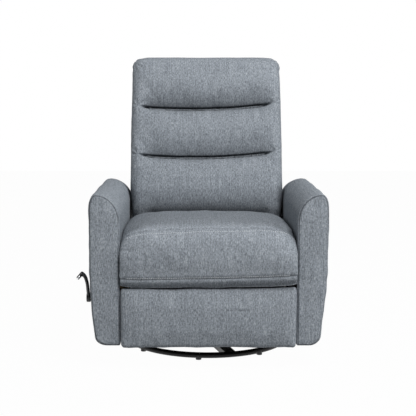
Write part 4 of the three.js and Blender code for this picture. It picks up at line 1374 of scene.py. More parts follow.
@dataclass
class ArmCover(Part):
    """An arm's cover: full top, tapering outer side, and a front panel set in with a seam."""

    inner: float = 0.291
    outer: float = 0.392
    height: float = 0.586
    bottom: float = 0.082
    front: float = 0.420
    rear: float = 0.330
    crest_share: float = 0.76
    inner_drop: float = 0.086
    outer_drop: float = 0.040
    foot_round: float = 0.036
    taper: float = 0.021
    taper_top: float = 0.350
    left_fuller: float = 0.006
    rear_drop: float = 0.027
    drop_start: float = 0.060
    front_round: float = 0.009
    rear_round: float = 0.022
    seam_width: float = 0.0026
    seam_depth: float = 0.0022
    panel_middle: float = 0.343
    panel_bulge: float = 0.0035
    gather: float = 0.0004
    gather_forward: float = 0.409
    pull: float = 0.0008
    pull_up: float = 0.555
    seam_shades: Pair = (0.3, 0.4)
    broad: Pair = (0.0013, 0.21)
    close: Pair = (0.0005, 0.07)
    seeds: tuple[int, int] = (21, 22)
    rear_run: float = 0.022
    wall: float = 0.025
    board_side: float = 0.303
    board_top: float = 0.480
    board_play: float = 0.0003
    open_top: float = 0.300
    overrun: float = 0.02
    hole: tuple[float, float, float] = (0.3327, 0.228, 0.013)
    hole_side: float = 0.35
    hole_depth: float = 0.12
    round_angles: tuple[float, ...] = (0.0, 20.0, 40.0, 57.0, 73.0, 90.0)
    cap_shares: tuple[float, ...] = (0.955, 0.90, 0.83, 0.74, 0.64, 0.52, 0.39, 0.25, 0.11)

    def loop(self, forward: float, inset: float) -> Array:
        """One upright loop round the arm.

        Args:
            forward: its distance ahead of the swivel axis.
            inset: how far it is drawn in.

        Returns:
            Its points.
        """
        fall = max(0.0, (-forward - self.drop_start) / (self.rear - self.drop_start))
        crest = self.height - self.rear_drop * fall**2 - inset
        crest_x = self.inner + (self.outer - self.inner) * self.crest_share
        inner, outer, bottom = self.inner + inset, self.outer - inset, self.bottom + inset

        def arc(x: float, z: float, rx: float, rz: float, start: float, steps: int) -> tuple[Any, Any]:
            """Points of an oval arc, at most a quarter turn and ending at half a turn at the latest."""
            angle = np.radians(np.linspace(start, min(start + 90.0, 180.0), steps + 1))
            return x + rx * np.cos(angle), z + rz * np.sin(angle)

        foot_x = outer - self.taper - self.foot_round
        share = np.linspace(0.0, 1.0, 27)[1:]
        base = bottom + self.foot_round
        side = outline(
            (np.linspace(inner, foot_x, 7)[:-1], bottom),
            arc(foot_x, base, self.foot_round, self.foot_round, -90.0, 9),
            (outer - self.taper * (1.0 - share) ** 1.6, base + (self.taper_top - base) * share),
            (outer, inner_steps(self.taper_top, crest - self.outer_drop, 20)),
            arc(crest_x, crest - self.outer_drop, outer - crest_x, self.outer_drop, 0.0, 13),
            arc(crest_x, crest - self.inner_drop, crest_x - inner, self.inner_drop, 94.0, 24),
            (inner, inner_steps(crest - self.inner_drop, bottom, 44)),
        )
        return self.chair.point(side[:, 0], forward, side[:, 1])

    def form(self) -> Object:
        """Builds the right cover's outside.

        Returns:
            The object.
        """
        angles = np.radians(self.round_angles)
        drawn, inset = 1.0 - np.sin(angles), 1.0 - np.cos(angles)
        stations = outline(
            (self.front - self.front_round * drawn[::-1], self.front_round * inset[::-1]),
            (inner_steps(self.front - self.front_round, self.rear_run - self.rear, 82), 0.0),
            (self.rear_round * drawn - self.rear, self.rear_round * inset),
        )
        return skin_object("arm_form", np.stack([self.loop(*row) for row in stations]), self.cap_shares)

    def make(self, side: Side, template: Object) -> None:
        """Builds one arm's cover from the shared form.

        Args:
            side: which arm.
            template: the form of the right arm.
        """
        obj = new_object(f"arm_padding_{side.value}", template.data.copy())
        if side is Side.LEFT:
            places = places_of(obj)
            x, _, up = self.chair.split(places)
            fuller = self.left_fuller * smooth(0.34, 0.14, up) * smooth(0.325, 0.365, x)
            places[:, 0] = 2.0 * self.chair.shift_x - places[:, 0] - fuller
            put_places(obj, places)
            turn_faces(obj, flip=True)
        self.carve(obj, side)
        self.hollow(obj, side)
        weave_map(obj)
        self.piece.dress(obj, "linen", Body.FRAME, Slot.UPHOLSTERY, [f"arm_cover_{side.value}"], 50.0)

    def template(self) -> Object:
        """Builds the right arm's stuffed form, which both covers start from.

        Returns:
            The form.
        """
        obj = self.form()
        x, forward, up = self.chair.split(places_of(obj))
        at_seam = smooth(0.402, 0.412, forward) * (forward < self.front - 0.0005)
        held = np.maximum(smooth(0.14, 0.10, up), at_seam)
        held = np.maximum(held, smooth(self.inner + 0.009, self.inner + 0.005, x))
        swell(obj, held, cap=0.012, share=0.4, slack=0.012)
        refine(obj)
        return obj

    def carve(self, obj: Object, side: Side) -> None:
        """Sinks the front seam, paints shade into it and adds the slight unevenness of the cover.

        Args:
            obj: the cover.
            side: which arm.
        """
        x, forward, up = self.chair.split(places_of(obj))
        out = np.abs(x)
        ahead = -normals_of(obj)[:, 1]
        seed = self.seeds[0] if side is Side.RIGHT else self.seeds[1]
        seam = bell(forward - (self.front - self.seam_width), self.seam_width)
        seam = seam * smooth(0.25, 0.5, ahead) * (1.0 - smooth(0.9, 0.99, ahead))
        uneven = self.broad[0] * waves(forward, up + out, self.broad[1], seed)
        uneven += self.close[0] * waves(forward, up, self.close[1], seed + 9)
        calm = 1.0 - 0.8 * smooth(0.302, 0.293, out)
        panel = bell(out - self.panel_middle, 0.05) * smooth(0.10, 0.20, up) * smooth(0.575, 0.50, up)
        bulge = self.panel_bulge * smooth(0.5, 0.9, ahead) * panel
        gather = np.sin(up / 0.0095 + 2.0 * np.sin(up / 0.06)) * bell(forward - self.gather_forward, 0.012)
        pull = np.sin((forward * 0.6 + up) / 0.019) * bell(up - self.pull_up, 0.03)
        pull = pull * smooth(0.30, 0.40, forward)
        move = uneven * smooth(0.085, 0.12, up) * calm + bulge + self.gather * gather + self.pull * pull
        shift_places(obj, move - self.seam_depth * seam)
        # painted shade along the front seam, stronger near the top
        paint_shade(obj, seam * (self.seam_shades[0] + self.seam_shades[1] * smooth(0.47, 0.52, up)))

    def hollow(self, obj: Object, side: Side) -> None:
        """Cuts the hollow over the board, the opening to the mechanism and the lever's hole.

        Args:
            obj: the cover.
            side: which arm.
        """
        front, rear = self.front - self.wall, self.wall - self.rear
        board_side, board_top = self.board_side - self.board_play, self.board_top + self.board_play
        hollow = (board_side, self.outer - self.wall - self.taper, board_top)
        opening = (self.inner - self.overrun, self.board_side, self.open_top)
        for low_x, high_x, top in (hollow, opening):
            middle = self.chair.point(side.sign * (low_x + high_x) / 2.0, (front + rear) / 2.0, top / 2.0)
            bpy.ops.mesh.primitive_cube_add(size=1.0, location=middle.tolist())
            cutter = bpy.context.object
            cutter.scale = (high_x - low_x, front - rear, top)
            self.cut(obj, cutter)
        if side is Side.LEFT:
            forward, up, radius = self.hole
            middle = self.chair.point(-self.hole_side, forward, up).tolist()
            bpy.ops.mesh.primitive_cylinder_add(
                vertices=48, radius=radius, depth=self.hole_depth,
                location=middle, rotation=(0.0, QUARTER_TURN, 0.0),
            )
            self.cut(obj, bpy.context.object)

    def cut(self, obj: Object, cutter: Object) -> None:
        """Takes one form away from another and removes it.

        Args:
            obj: the piece.
            cutter: the form to take away.
        """
        select_only(cutter)
        bpy.ops.object.transform_apply(location=True, rotation=True, scale=True)
        apply_modifier(obj, "BOOLEAN", operation="DIFFERENCE", object=cutter, solver="FAST")
        bpy.data.objects.remove(cutter)


@dataclass
class FootrestCushion(Part):
    """The footrest's pad: a flat cushion with rounded edges, pulled round its board."""

    half_width: float = 0.2895
    rear: float = 0.410
    front: float = 0.440
    bottom: float = 0.078
    top: float = 0.281
    lean: float = 0.0028
    edge: float = 0.015
    top_edge: float = 0.026
    belly: float = 0.0035
    side_round: float = 0.020
    corner: float = 0.012
    corner_drop: float = 0.010
    stations: int = 96
    sine_share: float = 0.72
    wrinkle_x: float = 0.098
    wrinkle_up: float = 0.2085
    wrinkle_depth: float = 0.0012
    edge_pull: float = 0.0006
    edge_shade: float = 0.55
    broad: Pair = (0.0011, 0.19)
    close: Pair = (0.0004, 0.06)

    def loop(self, x: float) -> Array:
        """One side-view loop.

        Args:
            x: its distance to the right.

        Returns:
            Its points.
        """
        inset = rounding(x, self.half_width, self.side_round)
        drop = self.corner_drop * rounding(x, self.half_width, self.corner)
        front = self.front - self.side_round * inset
        low, edge = self.bottom + drop, self.edge
        high = self.top - drop + self.lean * (x / self.half_width - 1.0)
        share = inner_steps(0.0, 1.0, 32)
        bulge = self.belly * np.sin(share * math.pi) * (1.0 - inset)
        angle = np.linspace(0.0, QUARTER_TURN, 8)
        side = outline(
            (np.linspace(self.rear, front - edge, 5)[:-1], low),
            (front - edge + edge * np.sin(angle), low + edge * (1.0 - np.cos(angle))),
            (front + bulge, low + edge + (high - low - edge - self.top_edge) * share),
            (front - edge * (1.0 - np.cos(angle)), high - self.top_edge * (1.0 - np.sin(angle))),
            (np.linspace(front - edge, self.rear, 5)[1:], high),
            (self.rear, inner_steps(high, low, 30)),
        )
        return self.chair.point(x, side[:, 0], side[:, 1])

    def make(self) -> None:
        """Builds the cushion."""
        shares = np.linspace(-0.5, 0.5, self.stations + 1)
        across = self.sine_share * np.sin(shares * math.pi) + (1.0 - self.sine_share) * 2.0 * shares
        loops = np.stack([self.loop(self.half_width * float(value)) for value in across])
        obj = skin_object("footrest_cushion", loops)
        x, forward, up = self.chair.split(places_of(obj))
        at_board = smooth(self.rear + 0.010, self.rear + 0.004, forward)
        held = np.maximum(at_board, smooth(0.97, 0.995, np.abs(x) / self.half_width))
        swell(obj, held, cap=0.016, share=0.3)
        refine(obj)
        self.carve(obj)
        weave_map(obj)
        self.piece.dress(obj, "linen", Body.FOOTREST, Slot.UPHOLSTERY, ["footrest_pad"], PAD_ANGLE)

    def carve(self, obj: Object) -> None:
        """Adds the small wrinkle and the pull of the cover over the board's edges, and paints the seat's
        shadow under the top edge and shade in the wrinkle.

        Args:
            obj: the cushion.
        """
        x, forward, up = self.chair.split(places_of(obj))
        at_front = forward > self.front - 0.010
        open_side = smooth(self.rear + 0.002, self.rear + 0.012, forward)
        uneven = unevenness(x, up, self.broad, self.close, 31)
        line = up - self.wrinkle_up + 0.10 * (x - 0.10) ** 2
        wrinkle = bell(line, 0.0045) * bell(x - self.wrinkle_x, 0.034)
        wrinkle = wrinkle - 0.6 * bell(line - 0.009, 0.006) * bell(x - self.wrinkle_x + 0.004, 0.034)
        edges = bell(up - self.top + 0.012, 0.012) + bell(up - self.bottom - 0.012, 0.012)
        pull = self.edge_pull * np.sin(x / 0.014 + 1.5 * np.sin(x / 0.07)) * edges
        shift_places(obj, (uneven + pull - self.wrinkle_depth * wrinkle * at_front) * open_side)
        # painted shadow of the seat just below the top edge, and painted shade in the wrinkle's furrow
        below_top = np.maximum(self.top - 0.004 - up, 0.0)
        shade = self.edge_shade * np.exp(-below_top / 0.008) * smooth(1.0, 0.94, np.abs(x) / self.half_width)
        furrow = 0.25 * bell(line, 0.003) * bell(x - self.wrinkle_x, 0.03) * at_front
        paint_shade(obj, np.maximum(furrow, shade))


@dataclass
class RearCovers(Part):
    """The back's rear cover, its dust flap and the skirt that closes the chair behind."""

    back: BackPad
    panel_inset: float = 0.024
    panel_bottom: float = 0.075
    panel_top: float = 0.7065
    panel_proud: float = 0.0045
    panel_corner: float = 0.030
    panel_crown: float = 0.004
    panel_sway: Pair = (0.0016, 0.26)
    flap_half: float = 0.226
    flap_span: Pair = (-0.006, 0.070)
    flap_depths: Pair = (0.014, 0.0075)
    flap_ripple: float = 0.003
    skirt_half: float = 0.3024
    skirt_neck: float = 0.2892
    skirt_shoulder: float = 0.2984
    skirt_bottom: float = 0.082
    skirt_top: float = 0.366
    skirt_face: float = 0.3045
    skirt_thickness: float = 0.0075
    skirt_slack: float = 0.0022
    skirt_sway: Pair = (0.0011, 0.2)
    edge: float = 0.003

    def slab(self, across: Array, spans: Sequence[Pair], faces: Pair) -> Array:
        """Side-view loops of a thin upright slab with rounded edges.

        Args:
            across: the stations across the slab.
            spans: the lowest and highest place at each station.
            faces: how far back its front and rear faces are.

        Returns:
            The loops as (x, rearward, height) points.
        """
        front, rear = faces
        angle = np.linspace(0.0, QUARTER_TURN, 5)
        by_sine, by_cosine = self.edge * (1.0 - np.sin(angle)), self.edge * (1.0 - np.cos(angle))
        half = np.abs(across).max()
        loops = []
        for x, (low, high) in zip(across, spans):
            face = rear - 0.8 * self.edge * rounding(x, half, self.edge)
            loops.append(outline(
                (x, face - by_sine, low + by_cosine),
                (x, face, inner_steps(low + self.edge, high - self.edge, 62)),
                (x, face - by_cosine, high - by_sine),
                (x, front, np.linspace(high, low, 10)),
            ))
        return np.stack(loops)

    def make_panel(self) -> None:
        """Builds the cover of the rear panel."""
        half, corner = self.back.half_width - self.panel_inset, self.panel_corner
        share = np.linspace(-1.0, 1.0, 85)
        across = half * (0.65 * np.sin(share * QUARTER_TURN) + 0.35 * share)
        draws = [corner * rounding(x, half, corner) for x in across]
        spans = [(self.panel_bottom + draw, self.panel_top - draw) for draw in draws]
        rear = self.back.rear
        loops = self.slab(across, spans, (rear - self.back.rear_edge, rear + self.panel_proud))
        obj = skin_object("rear_cover", self.back.to_model(loops), SLAB_CAP_SHARES)
        refine(obj)
        local = self.back.to_local(places_of(obj))
        face = smooth(rear + 0.002, rear + 0.0042, local[:, 1])
        sway = self.panel_sway[0] * waves(local[:, 0], local[:, 2], self.panel_sway[1], 41)
        crown = self.panel_crown * (1.0 - (local[:, 0] / half) ** 2)
        shift_places(obj, face * (sway + crown))
        # painted shade where the cover meets the back's rear edge
        paint_shade(obj, 0.5 * bell(local[:, 1] - rear - 0.0004, 0.0016))
        weave_map(obj)
        self.piece.dress(obj, "linen", Body.BACK, Slot.UPHOLSTERY, ["back_panel"], SLAB_ANGLE)

    def make_flap(self) -> None:
        """Builds the dust flap that hangs from the back's lower edge, in front of the skirt."""
        across = np.linspace(-self.flap_half, self.flap_half, 61)
        rear = self.back.rear
        faces = (rear - self.flap_depths[0], rear - self.flap_depths[1])
        loops = self.slab(across, [self.flap_span] * len(across), faces)
        x = loops[..., 0]
        hang = smooth(self.flap_span[1], self.flap_span[0], loops[..., 2])
        loops[..., 1] += self.flap_ripple * hang * np.sin(x / 0.021 + 1.3 * np.sin(x / 0.07))
        obj = skin_object("dust_flap", self.back.to_model(loops), SLAB_CAP_SHARES)
        self.piece.dress(obj, "lining", Body.BACK, Slot.UPHOLSTERY, (), SLAB_ANGLE)

    def make_skirt(self) -> None:
        """Builds the skirt behind the mechanism."""
        wide, neck, low = self.skirt_half, self.skirt_neck, self.skirt_bottom
        middle = np.linspace(0.0, neck - self.edge, 38)[1:]
        step = [neck - 0.001, neck, neck + 0.0006, neck + 0.004]
        right = np.concatenate([middle, step, [wide - self.edge, wide - 0.001, wide]])
        across = np.concatenate([-right[::-1], [0.0], right])
        spans = [(low, self.skirt_top if abs(x) <= neck else self.skirt_shoulder) for x in across]
        loops = self.slab(across, spans, (self.skirt_face - self.skirt_thickness, self.skirt_face))
        loops = self.chair.point(loops[..., 0], -loops[..., 1], loops[..., 2])
        obj = skin_object("rear_skirt", loops, SLAB_CAP_SHARES)
        refine(obj)
        places = places_of(obj)
        x, forward, up = self.chair.split(places)
        height = np.clip((up - low) / (self.skirt_top - low), 0.0, 1.0)
        slack = np.sin(height * math.pi) * (1.0 - (x / wide) ** 4)
        sway = (self.skirt_slack + self.skirt_sway[0] * waves(x, up, self.skirt_sway[1], 43)) * slack
        outside = smooth(self.skirt_face - 0.004, self.skirt_face - 0.001, -forward)
        places[:, 1] += np.maximum(sway, 0.0) * outside
        put_places(obj, places)
        # painted shade along a line just below the skirt's top, on its rear face
        paint_shade(obj, 0.3 * bell(up - self.skirt_top + 0.010, 0.0015) * (normals_of(obj)[:, 1] > 0.5))
        weave_map(obj)
        self.piece.dress(obj, "linen", Body.FRAME, Slot.UPHOLSTERY, ["skirt_panel"], SLAB_ANGLE)


@dataclass
class TopStitching(Part):
    """The rows of topstitches beside the seat's seams."""

    cushion: SeatCushion
    pitch: float = 0.0072
    length: float = 0.0054
    radius: float = 0.0008
    half_width: float = 0.268
    rows: tuple[tuple[str, float], ...] = (("upper", 0.0046), ("lower", 0.0042))
    stand_off: Pair = (0.046, 0.0305)
    reach: float = 0.2
    sides: int = 6
    swelling: tuple[Pair, ...] = ((0.0, 0.55), (0.15, 0.95), (0.5, 1.0), (0.85, 0.95), (1.0, 0.55))

    def place(self, tree: BVHTree, seam: str, x: float, offset: float) -> tuple[Vector, Vector] | None:
        """Finds a point of a seam on the cushion.

        Args:
            tree: the cushion's faces.
            seam: "upper" or "lower".
            x: the distance to the right.
            offset: how far above the seam.

        Returns:
            The point and the surface's normal, or None off the cushion.
        """
        if seam == "upper":
            forward, up = self.cushion.seam_place(x)
            aim_forward, aim_up = self.cushion.seam_aim
            start = Vector(self.chair.point(x, forward + self.stand_off[0], up + self.stand_off[1]))
            start += Vector((0.0, aim_forward * offset, aim_up * offset))
            along = Vector((0.0, aim_up, -aim_forward))
        else:
            ahead = self.cushion.front + self.stand_off[0]
            start = Vector(self.chair.point(x, ahead, self.cushion.low_seam_height(x) + offset))
            along = Vector((0.0, 1.0, 0.0))
        point, normal, _, _ = tree.ray_cast(start, along, self.reach)
        return None if point is None else (point, normal)

    def make(self, seat: Object) -> None:
        """Builds every stitch as one piece.

        Args:
            seat: the seat cushion.
        """
        tree = BVHTree.FromObject(seat, bpy.context.evaluated_depsgraph_get())
        places: list[Vector] = []
        faces: list[tuple[int, ...]] = []
        count = int(self.half_width * 2.0 / self.pitch)
        for seam, offset in self.rows:
            for number in range(count):
                middle = -self.half_width + (number + 0.5) * self.pitch
                stops = [middle + side * self.length / 2.0 for side in (-1.0, 0.0, 1.0)]
                ends = [self.place(tree, seam, x, offset) for x in stops]
                if all(ends):
                    self.stitch(places, faces, ends)
        obj = mesh_object("seat_topstitching", places, faces)
        self.piece.dress(obj, "thread", Body.SEAT, Slot.UPHOLSTERY)

    def stitch(self, places: list[Vector], faces: list[tuple[int, ...]], ends: Sequence[Any]) -> None:
        """Adds one stitch, sunk into the cloth at both ends.

        Args:
            places: the vertices so far.
            faces: the faces so far.
            ends: the points and normals of its start, middle and end.
        """
        heading = (ends[2][0] - ends[0][0]).normalized()
        rings = []
        for share, size in self.swelling:
            near, far = (ends[0], ends[1]) if share <= 0.5 else (ends[1], ends[2])
            local = share * 2.0 if share <= 0.5 else share * 2.0 - 1.0
            point = near[0].lerp(far[0], local)
            normal = near[1].lerp(far[1], local).normalized()
            lift = self.radius * (1.9 * math.sin(share * math.pi) - 0.7)
            rings.append((point + normal * lift, normal, self.radius * size))
        start, count = len(places), self.sides
        last = (len(rings) - 1) * count
        for point, normal, radius in rings:
            side = heading.cross(normal).normalized()
            for turn in range(count):
                angle = turn * math.tau / count
                places.append(point + (side * math.cos(angle) + normal * math.sin(angle)) * radius)
        for first in range(start, start + last, count):
            for turn in range(count):
                a, b = first + turn, first + (turn + 1) % count
                faces.append((a, a + count, b + count, b))
        faces.append(tuple(start + turn for turn in range(count)))
        faces.append(tuple(start + last + turn for turn in reversed(range(count))))


# Hard parts


class Bench:
    """Edit-mode work on hard pieces."""

    @staticmethod
    def begin(obj: Object, mode: str) -> Any:
        """Opens a piece in edit mode with nothing selected.

        Args:
            obj: the piece.
            mode: "VERT", "EDGE" or "FACE".

        Returns:
            The edit mesh.
        """
        select_only(obj)
        bpy.ops.object.mode_set(mode="EDIT")
        bpy.ops.mesh.select_mode(type=mode)
        bpy.ops.mesh.select_all(action="DESELECT")
        return bmesh.from_edit_mesh(obj.data)

    @staticmethod
    def choose(obj: Object, mode: str, test: Callable[[Any], bool]) -> None:
        """Selects the elements that pass a test and stays in edit mode.

        Args:
            obj: the piece.
            mode: "VERT", "EDGE" or "FACE".
            test: takes an element and says whether it is wanted.
        """
        mesh = Bench.begin(obj, mode)
        elements = {"VERT": mesh.verts, "EDGE": mesh.edges, "FACE": mesh.faces}[mode]
        for element in [item for item in elements if test(item)]:
            element.select_set(True)
        mesh.select_flush_mode()
        bmesh.update_edit_mesh(obj.data)

    @staticmethod
    def end(obj: Object, name: str) -> Object:
        """Leaves edit mode, names the piece and applies its place.

        Args:
            obj: the piece.
            name: its name.

        Returns:
            The piece.
        """
        bpy.ops.object.mode_set(mode="OBJECT")
        select_only(obj)
        bpy.ops.object.transform_apply(location=True, rotation=True, scale=True)
        obj.name = name
        obj.data.name = name
        return obj

    @staticmethod
    def join(parts: Sequence[Object], name: str) -> Object:
        """Joins some meshes into one piece.

        Args:
            parts: the meshes, of which the first one stays.
            name: the piece's name.

        Returns:
            The piece.
        """
        select_only(parts[0])
        for part in parts:
            part.select_set(True)
        bpy.ops.object.join()
        return Bench.end(bpy.context.object, name)


@dataclass
class BaseRing(Part):
    """The tube ring on the floor, with its butt weld, and its eight glides."""

    radius: float = 0.290
    tube: float = 0.010
    height: float = 0.015
    foot_radius: float = 0.0100
    foot_count: int = 8
    first_foot: float = math.radians(-6.3)
    sole_inset: float = 0.0018
    sole_bevel: float = 0.0013
    weld_bulge: float = 0.0007
    segments: int = 168

    def make_ring(self) -> None:
        """Builds the ring."""
        centre = self.chair.point(0.0, 0.0, self.height).tolist()
        bpy.ops.mesh.primitive_torus_add(
            location=centre, major_segments=self.segments, minor_segments=24,
            major_radius=self.radius, minor_radius=self.tube,
        )
        ring = bpy.context.object
        weld = 1.2 * math.tau / self.segments
        Bench.choose(ring, "VERT", lambda vertex: abs(math.atan2(vertex.co.x, vertex.co.y)) < weld)
        bpy.ops.transform.shrink_fatten(value=self.weld_bulge)
        ring = Bench.end(ring, "ring_tube")
        self.piece.dress(ring, "powder", Body.BASE, Slot.BLACK_STEEL, ["base_ring"], PAD_ANGLE)

    def make_feet(self) -> None:
        """Builds one glide with a flared sole and copies it round the ring."""
        bpy.ops.mesh.primitive_cylinder_add(vertices=40, radius=self.foot_radius, depth=self.height)
        foot = bpy.context.object
        half = self.height / 2.0

        def on_rim(edge: Any) -> bool:
            """Whether an edge lies on the sole's outer rim."""
            rim = 0.95 * self.foot_radius
            return all(abs(vertex.co.z + half) < 1e-5 and vertex.co.xy.length > rim for vertex in edge.verts)

        Bench.choose(foot, "FACE", lambda face: face.normal.z < -0.9)
        bpy.ops.mesh.inset(thickness=self.sole_inset)
        Bench.choose(foot, "EDGE", on_rim)
        bpy.ops.mesh.bevel(offset=self.sole_bevel, segments=3, affect="EDGES")
        bpy.ops.object.mode_set(mode="OBJECT")
        for number in range(1, self.foot_count + 1):
            angle = self.first_foot + (number - 1) * math.tau / self.foot_count
            place = self.chair.point(self.radius * math.sin(angle), self.radius * math.cos(angle), half)
            name, node = f"ring_glide_{number}", f"glide_foot_{number}"
            glide = Bench.end(new_object(name, foot.data.copy(), place), name)
            self.piece.dress(glide, "plastic", Body.BASE, Slot.BLACK_PLASTIC, [node], SMALL_PART_ANGLE)
        bpy.data.objects.remove(foot)


@dataclass
class Rivets(Part):
    """Domed rivet heads on the pivots of the glide links and of the footrest linkage."""

    radius: float = 0.0064
    height: float = 0.0022
    sides: int = 20
    dome: tuple[Pair, ...] = ((0.0011, 0.0), (0.0017, 0.0004), (0.0016, 0.0002))
    rim_bevel: float = 0.0009
    pins: tuple[tuple[str, Body, float, tuple[Pair, ...]], ...] = (
        ("glide_rivets", Body.SWIVEL, 0.1585, ((0.120, 0.165), (-0.120, 0.165))),
        ("drive_rivets", Body.DRIVE, -0.2535, ((0.32268, 0.15670), (0.31461, 0.09927))),
        ("bracket_rivets", Body.FOOTREST, -0.2535, ((0.38624, 0.28144), (0.37817, 0.22401))),
    )

    def head(self) -> Object:
        """Builds one head, standing on the x = 0 plane and facing +x.

        Returns:
            The head.
        """
        bpy.ops.mesh.primitive_cylinder_add(
            vertices=self.sides, radius=self.radius, depth=self.height,
            location=(self.height / 2.0, 0.0, 0.0), rotation=(0.0, QUARTER_TURN, 0.0),
        )
        head = bpy.context.object

        def on_rim(edge: Any) -> bool:
            """Whether an edge lies on the head's outer rim."""
            return all(v.co.xy.length > self.radius * 0.97 and v.co.z > 0.0 for v in edge.verts)

        for inset, lift in self.dome:
            Bench.choose(head, "FACE", lambda face: face.normal.z > 0.9 and len(face.verts) == self.sides)
            bpy.ops.mesh.inset(thickness=inset)
            bpy.ops.transform.shrink_fatten(value=lift)
        Bench.choose(head, "EDGE", on_rim)
        bpy.ops.mesh.bevel(offset=self.rim_bevel, segments=2, affect="EDGES")
        return Bench.end(head, "rivet_head")

    def make(self) -> None:
        """Copies the head to every pivot, one piece for each body and side."""
        head = self.head()
        for name, body, x, points in self.pins:
            for side in Side:
                heads = []
                for forward, up in points:
                    place = self.chair.point(side.sign * abs(x), forward, up)
                    rivet = new_object("rivet", head.data.copy(), place)
                    rivet.rotation_euler = (0.0, 0.0, 0.0 if side.sign * x > 0.0 else math.pi)
                    heads.append(rivet)
                joined = Bench.join(heads, f"{name}_{side.value}")
                self.piece.dress(joined, "zinc", body, Slot.ZINC_STEEL, (), SMALL_PART_ANGLE)
        bpy.data.objects.remove(head)


@dataclass
class ReleaseLever(Part):
    """The lever on the left arm: a hub, a flat bar that hooks outward and a bright tip."""

    hub_side: float = 0.396
    hub_radius: float = 0.016
    hub_thickness: float = 0.013
    axis_forward: float = 0.3327
    axis_up: float = 0.228
    width: float = 0.017
    depth: float = 0.011
    reach: Point = (0.023, 0.064, 0.091)
    grip: float = 0.011
    hub_inset: float = 0.0035
    hub_dish: float = 0.0008
    hub_bevel: float = 0.0016
    tip_gap: float = 0.0003
    tip_shape: tuple[Pair, ...] = (
        (0.0, 0.88), (0.04, 0.97), (0.12, 1.0), (0.3, 1.0),
        (0.6, 1.0), (0.82, 0.97), (0.93, 0.88), (1.0, 0.62),
    )
    steps: int = 40
    sides: int = 28
    path: tuple[Point, ...] = (
        (0.0, 0.0, 0.0), (0.0, 0.3, 0.32), (0.04, 0.58, 0.64),
        (0.26, 0.8, 0.89), (0.65, 0.92, 1.0), (1.0, 1.0, 0.92),
    )

    def points(self, count: int) -> list[Vector]:
        """Points along the lever's middle line.

        Args:
            count: how many.

        Returns:
            The points.
        """
        pins = []
        for out, ahead, up in self.path:
            x = -self.hub_side - self.hub_thickness / 2.0 - out * self.reach[0]
            forward, height = self.axis_forward + ahead * self.reach[1], self.axis_up + up * self.reach[2]
            pins.append(Vector(self.chair.point(x, forward, height).tolist()))
        ends = [pins[0] * 2.0 - pins[1], *pins, pins[-1] * 2.0 - pins[-2]]
        result = []
        for share in np.linspace(0.0, len(pins) - 1.0, count):
            span = min(int(share), len(pins) - 2)
            t = float(share) - span
            a, b, c, d = ends[span : span + 4]
            bend = (2.0 * a - 5.0 * b + 4.0 * c - d) * t**2 + (3.0 * (b - c) + d - a) * t**3
            result.append(0.5 * (2.0 * b + (c - a) * t + bend))
        return result

    def sweep(self, name: str, centres: Sequence[Vector], sizes: Sequence[float]) -> Object:
        """Extrudes an oval section along a line, from a filled circle.

        Args:
            name: the piece's name.
            centres: the section's middle at each step.
            sizes: its size at each step, 1 for the full section.

        Returns:
            The piece.
        """
        bpy.ops.mesh.primitive_circle_add(vertices=self.sides, radius=1.0, fill_type="NGON")
        bar = bpy.context.object
        across = Vector((1.0, 0.0, 0.0))
        turns = [k * math.tau / self.sides for k in range(self.sides)]

        def section(step: int) -> list[Vector]:
            """The oval section's points at one step."""
            ahead = centres[min(step + 1, len(centres) - 1)] - centres[max(step - 1, 0)]
            heading = ahead.normalized()
            side = across - heading * heading.x
            side = side.normalized() if side.length > 0.2 else across
            upward = heading.cross(side).normalized()
            half_depth, half_width = self.depth * sizes[step] / 2.0, self.width * sizes[step] / 2.0
            return [
                centres[step] + side * math.cos(turn) * half_depth + upward * math.sin(turn) * half_width
                for turn in turns
            ]

        mesh = Bench.begin(bar, "FACE")
        for vertex, place in zip(mesh.verts, section(0)):
            vertex.co = place
        bpy.ops.mesh.select_all(action="SELECT")
        for step in range(1, len(centres)):
            bpy.ops.mesh.extrude_region()
            mesh = bmesh.from_edit_mesh(bar.data)
            before, after = section(step - 1), section(step)
            for vertex in [item for item in mesh.verts if item.select]:
                vertex.co = after[min(range(self.sides), key=lambda k: (before[k] - vertex.co).length)]
            bmesh.update_edit_mesh(bar.data)
        turn_faces(bar)
        return Bench.end(bar, name)

    def hub(self) -> Object:
        """Builds the hub, dished on both faces and bevelled round its rims.

        Returns:
            The hub.
        """
        middle = self.chair.point(-self.hub_side - self.hub_thickness / 2.0, self.axis_forward, self.axis_up)
        bpy.ops.mesh.primitive_cylinder_add(
            vertices=56, radius=self.hub_radius, depth=self.hub_thickness,
            location=middle.tolist(), rotation=(0.0, QUARTER_TURN, 0.0),
        )
        hub = bpy.context.object

        def on_rim(edge: Any) -> bool:
            """Whether an edge lies on one of the hub's outer rims."""
            sharp = len(edge.link_faces) == 2 and edge.calc_face_angle() > 1.0
            return sharp and edge.verts[0].co.xy.length > 0.97 * self.hub_radius

        Bench.choose(hub, "FACE", lambda face: abs(face.normal.z) > 0.9)
        bpy.ops.mesh.inset(thickness=self.hub_inset)
        bpy.ops.mesh.extrude_region_shrink_fatten(TRANSFORM_OT_shrink_fatten={"value": -self.hub_dish})
        Bench.choose(hub, "EDGE", on_rim)
        bpy.ops.mesh.bevel(offset=self.hub_bevel, segments=3, affect="EDGES")
        return Bench.end(hub, "lever_hub")

    def make(self) -> None:
        """Builds the hub with its bar, and the tip."""
        line = self.points(self.steps)
        bar = Bench.join([self.sweep("lever_bar", line, [1.0] * self.steps), self.hub()], "release_lever")
        self.piece.dress(bar, "plastic", Body.DRIVE, Slot.BLACK_PLASTIC, ["lever_arm"], SMALL_PART_ANGLE)
        heading = (line[-1] - line[-2]).normalized()
        start = line[-1] + heading * self.tip_gap
        shares, sizes = zip(*self.tip_shape)
        tip = self.sweep("lever_cap", [start + heading * (self.grip * share) for share in shares], sizes)
        self.piece.dress(tip, "chrome", Body.DRIVE, Slot.BRIGHT_TRIM, ["lever_tip"], SMALL_PART_ANGLE)


# Stage


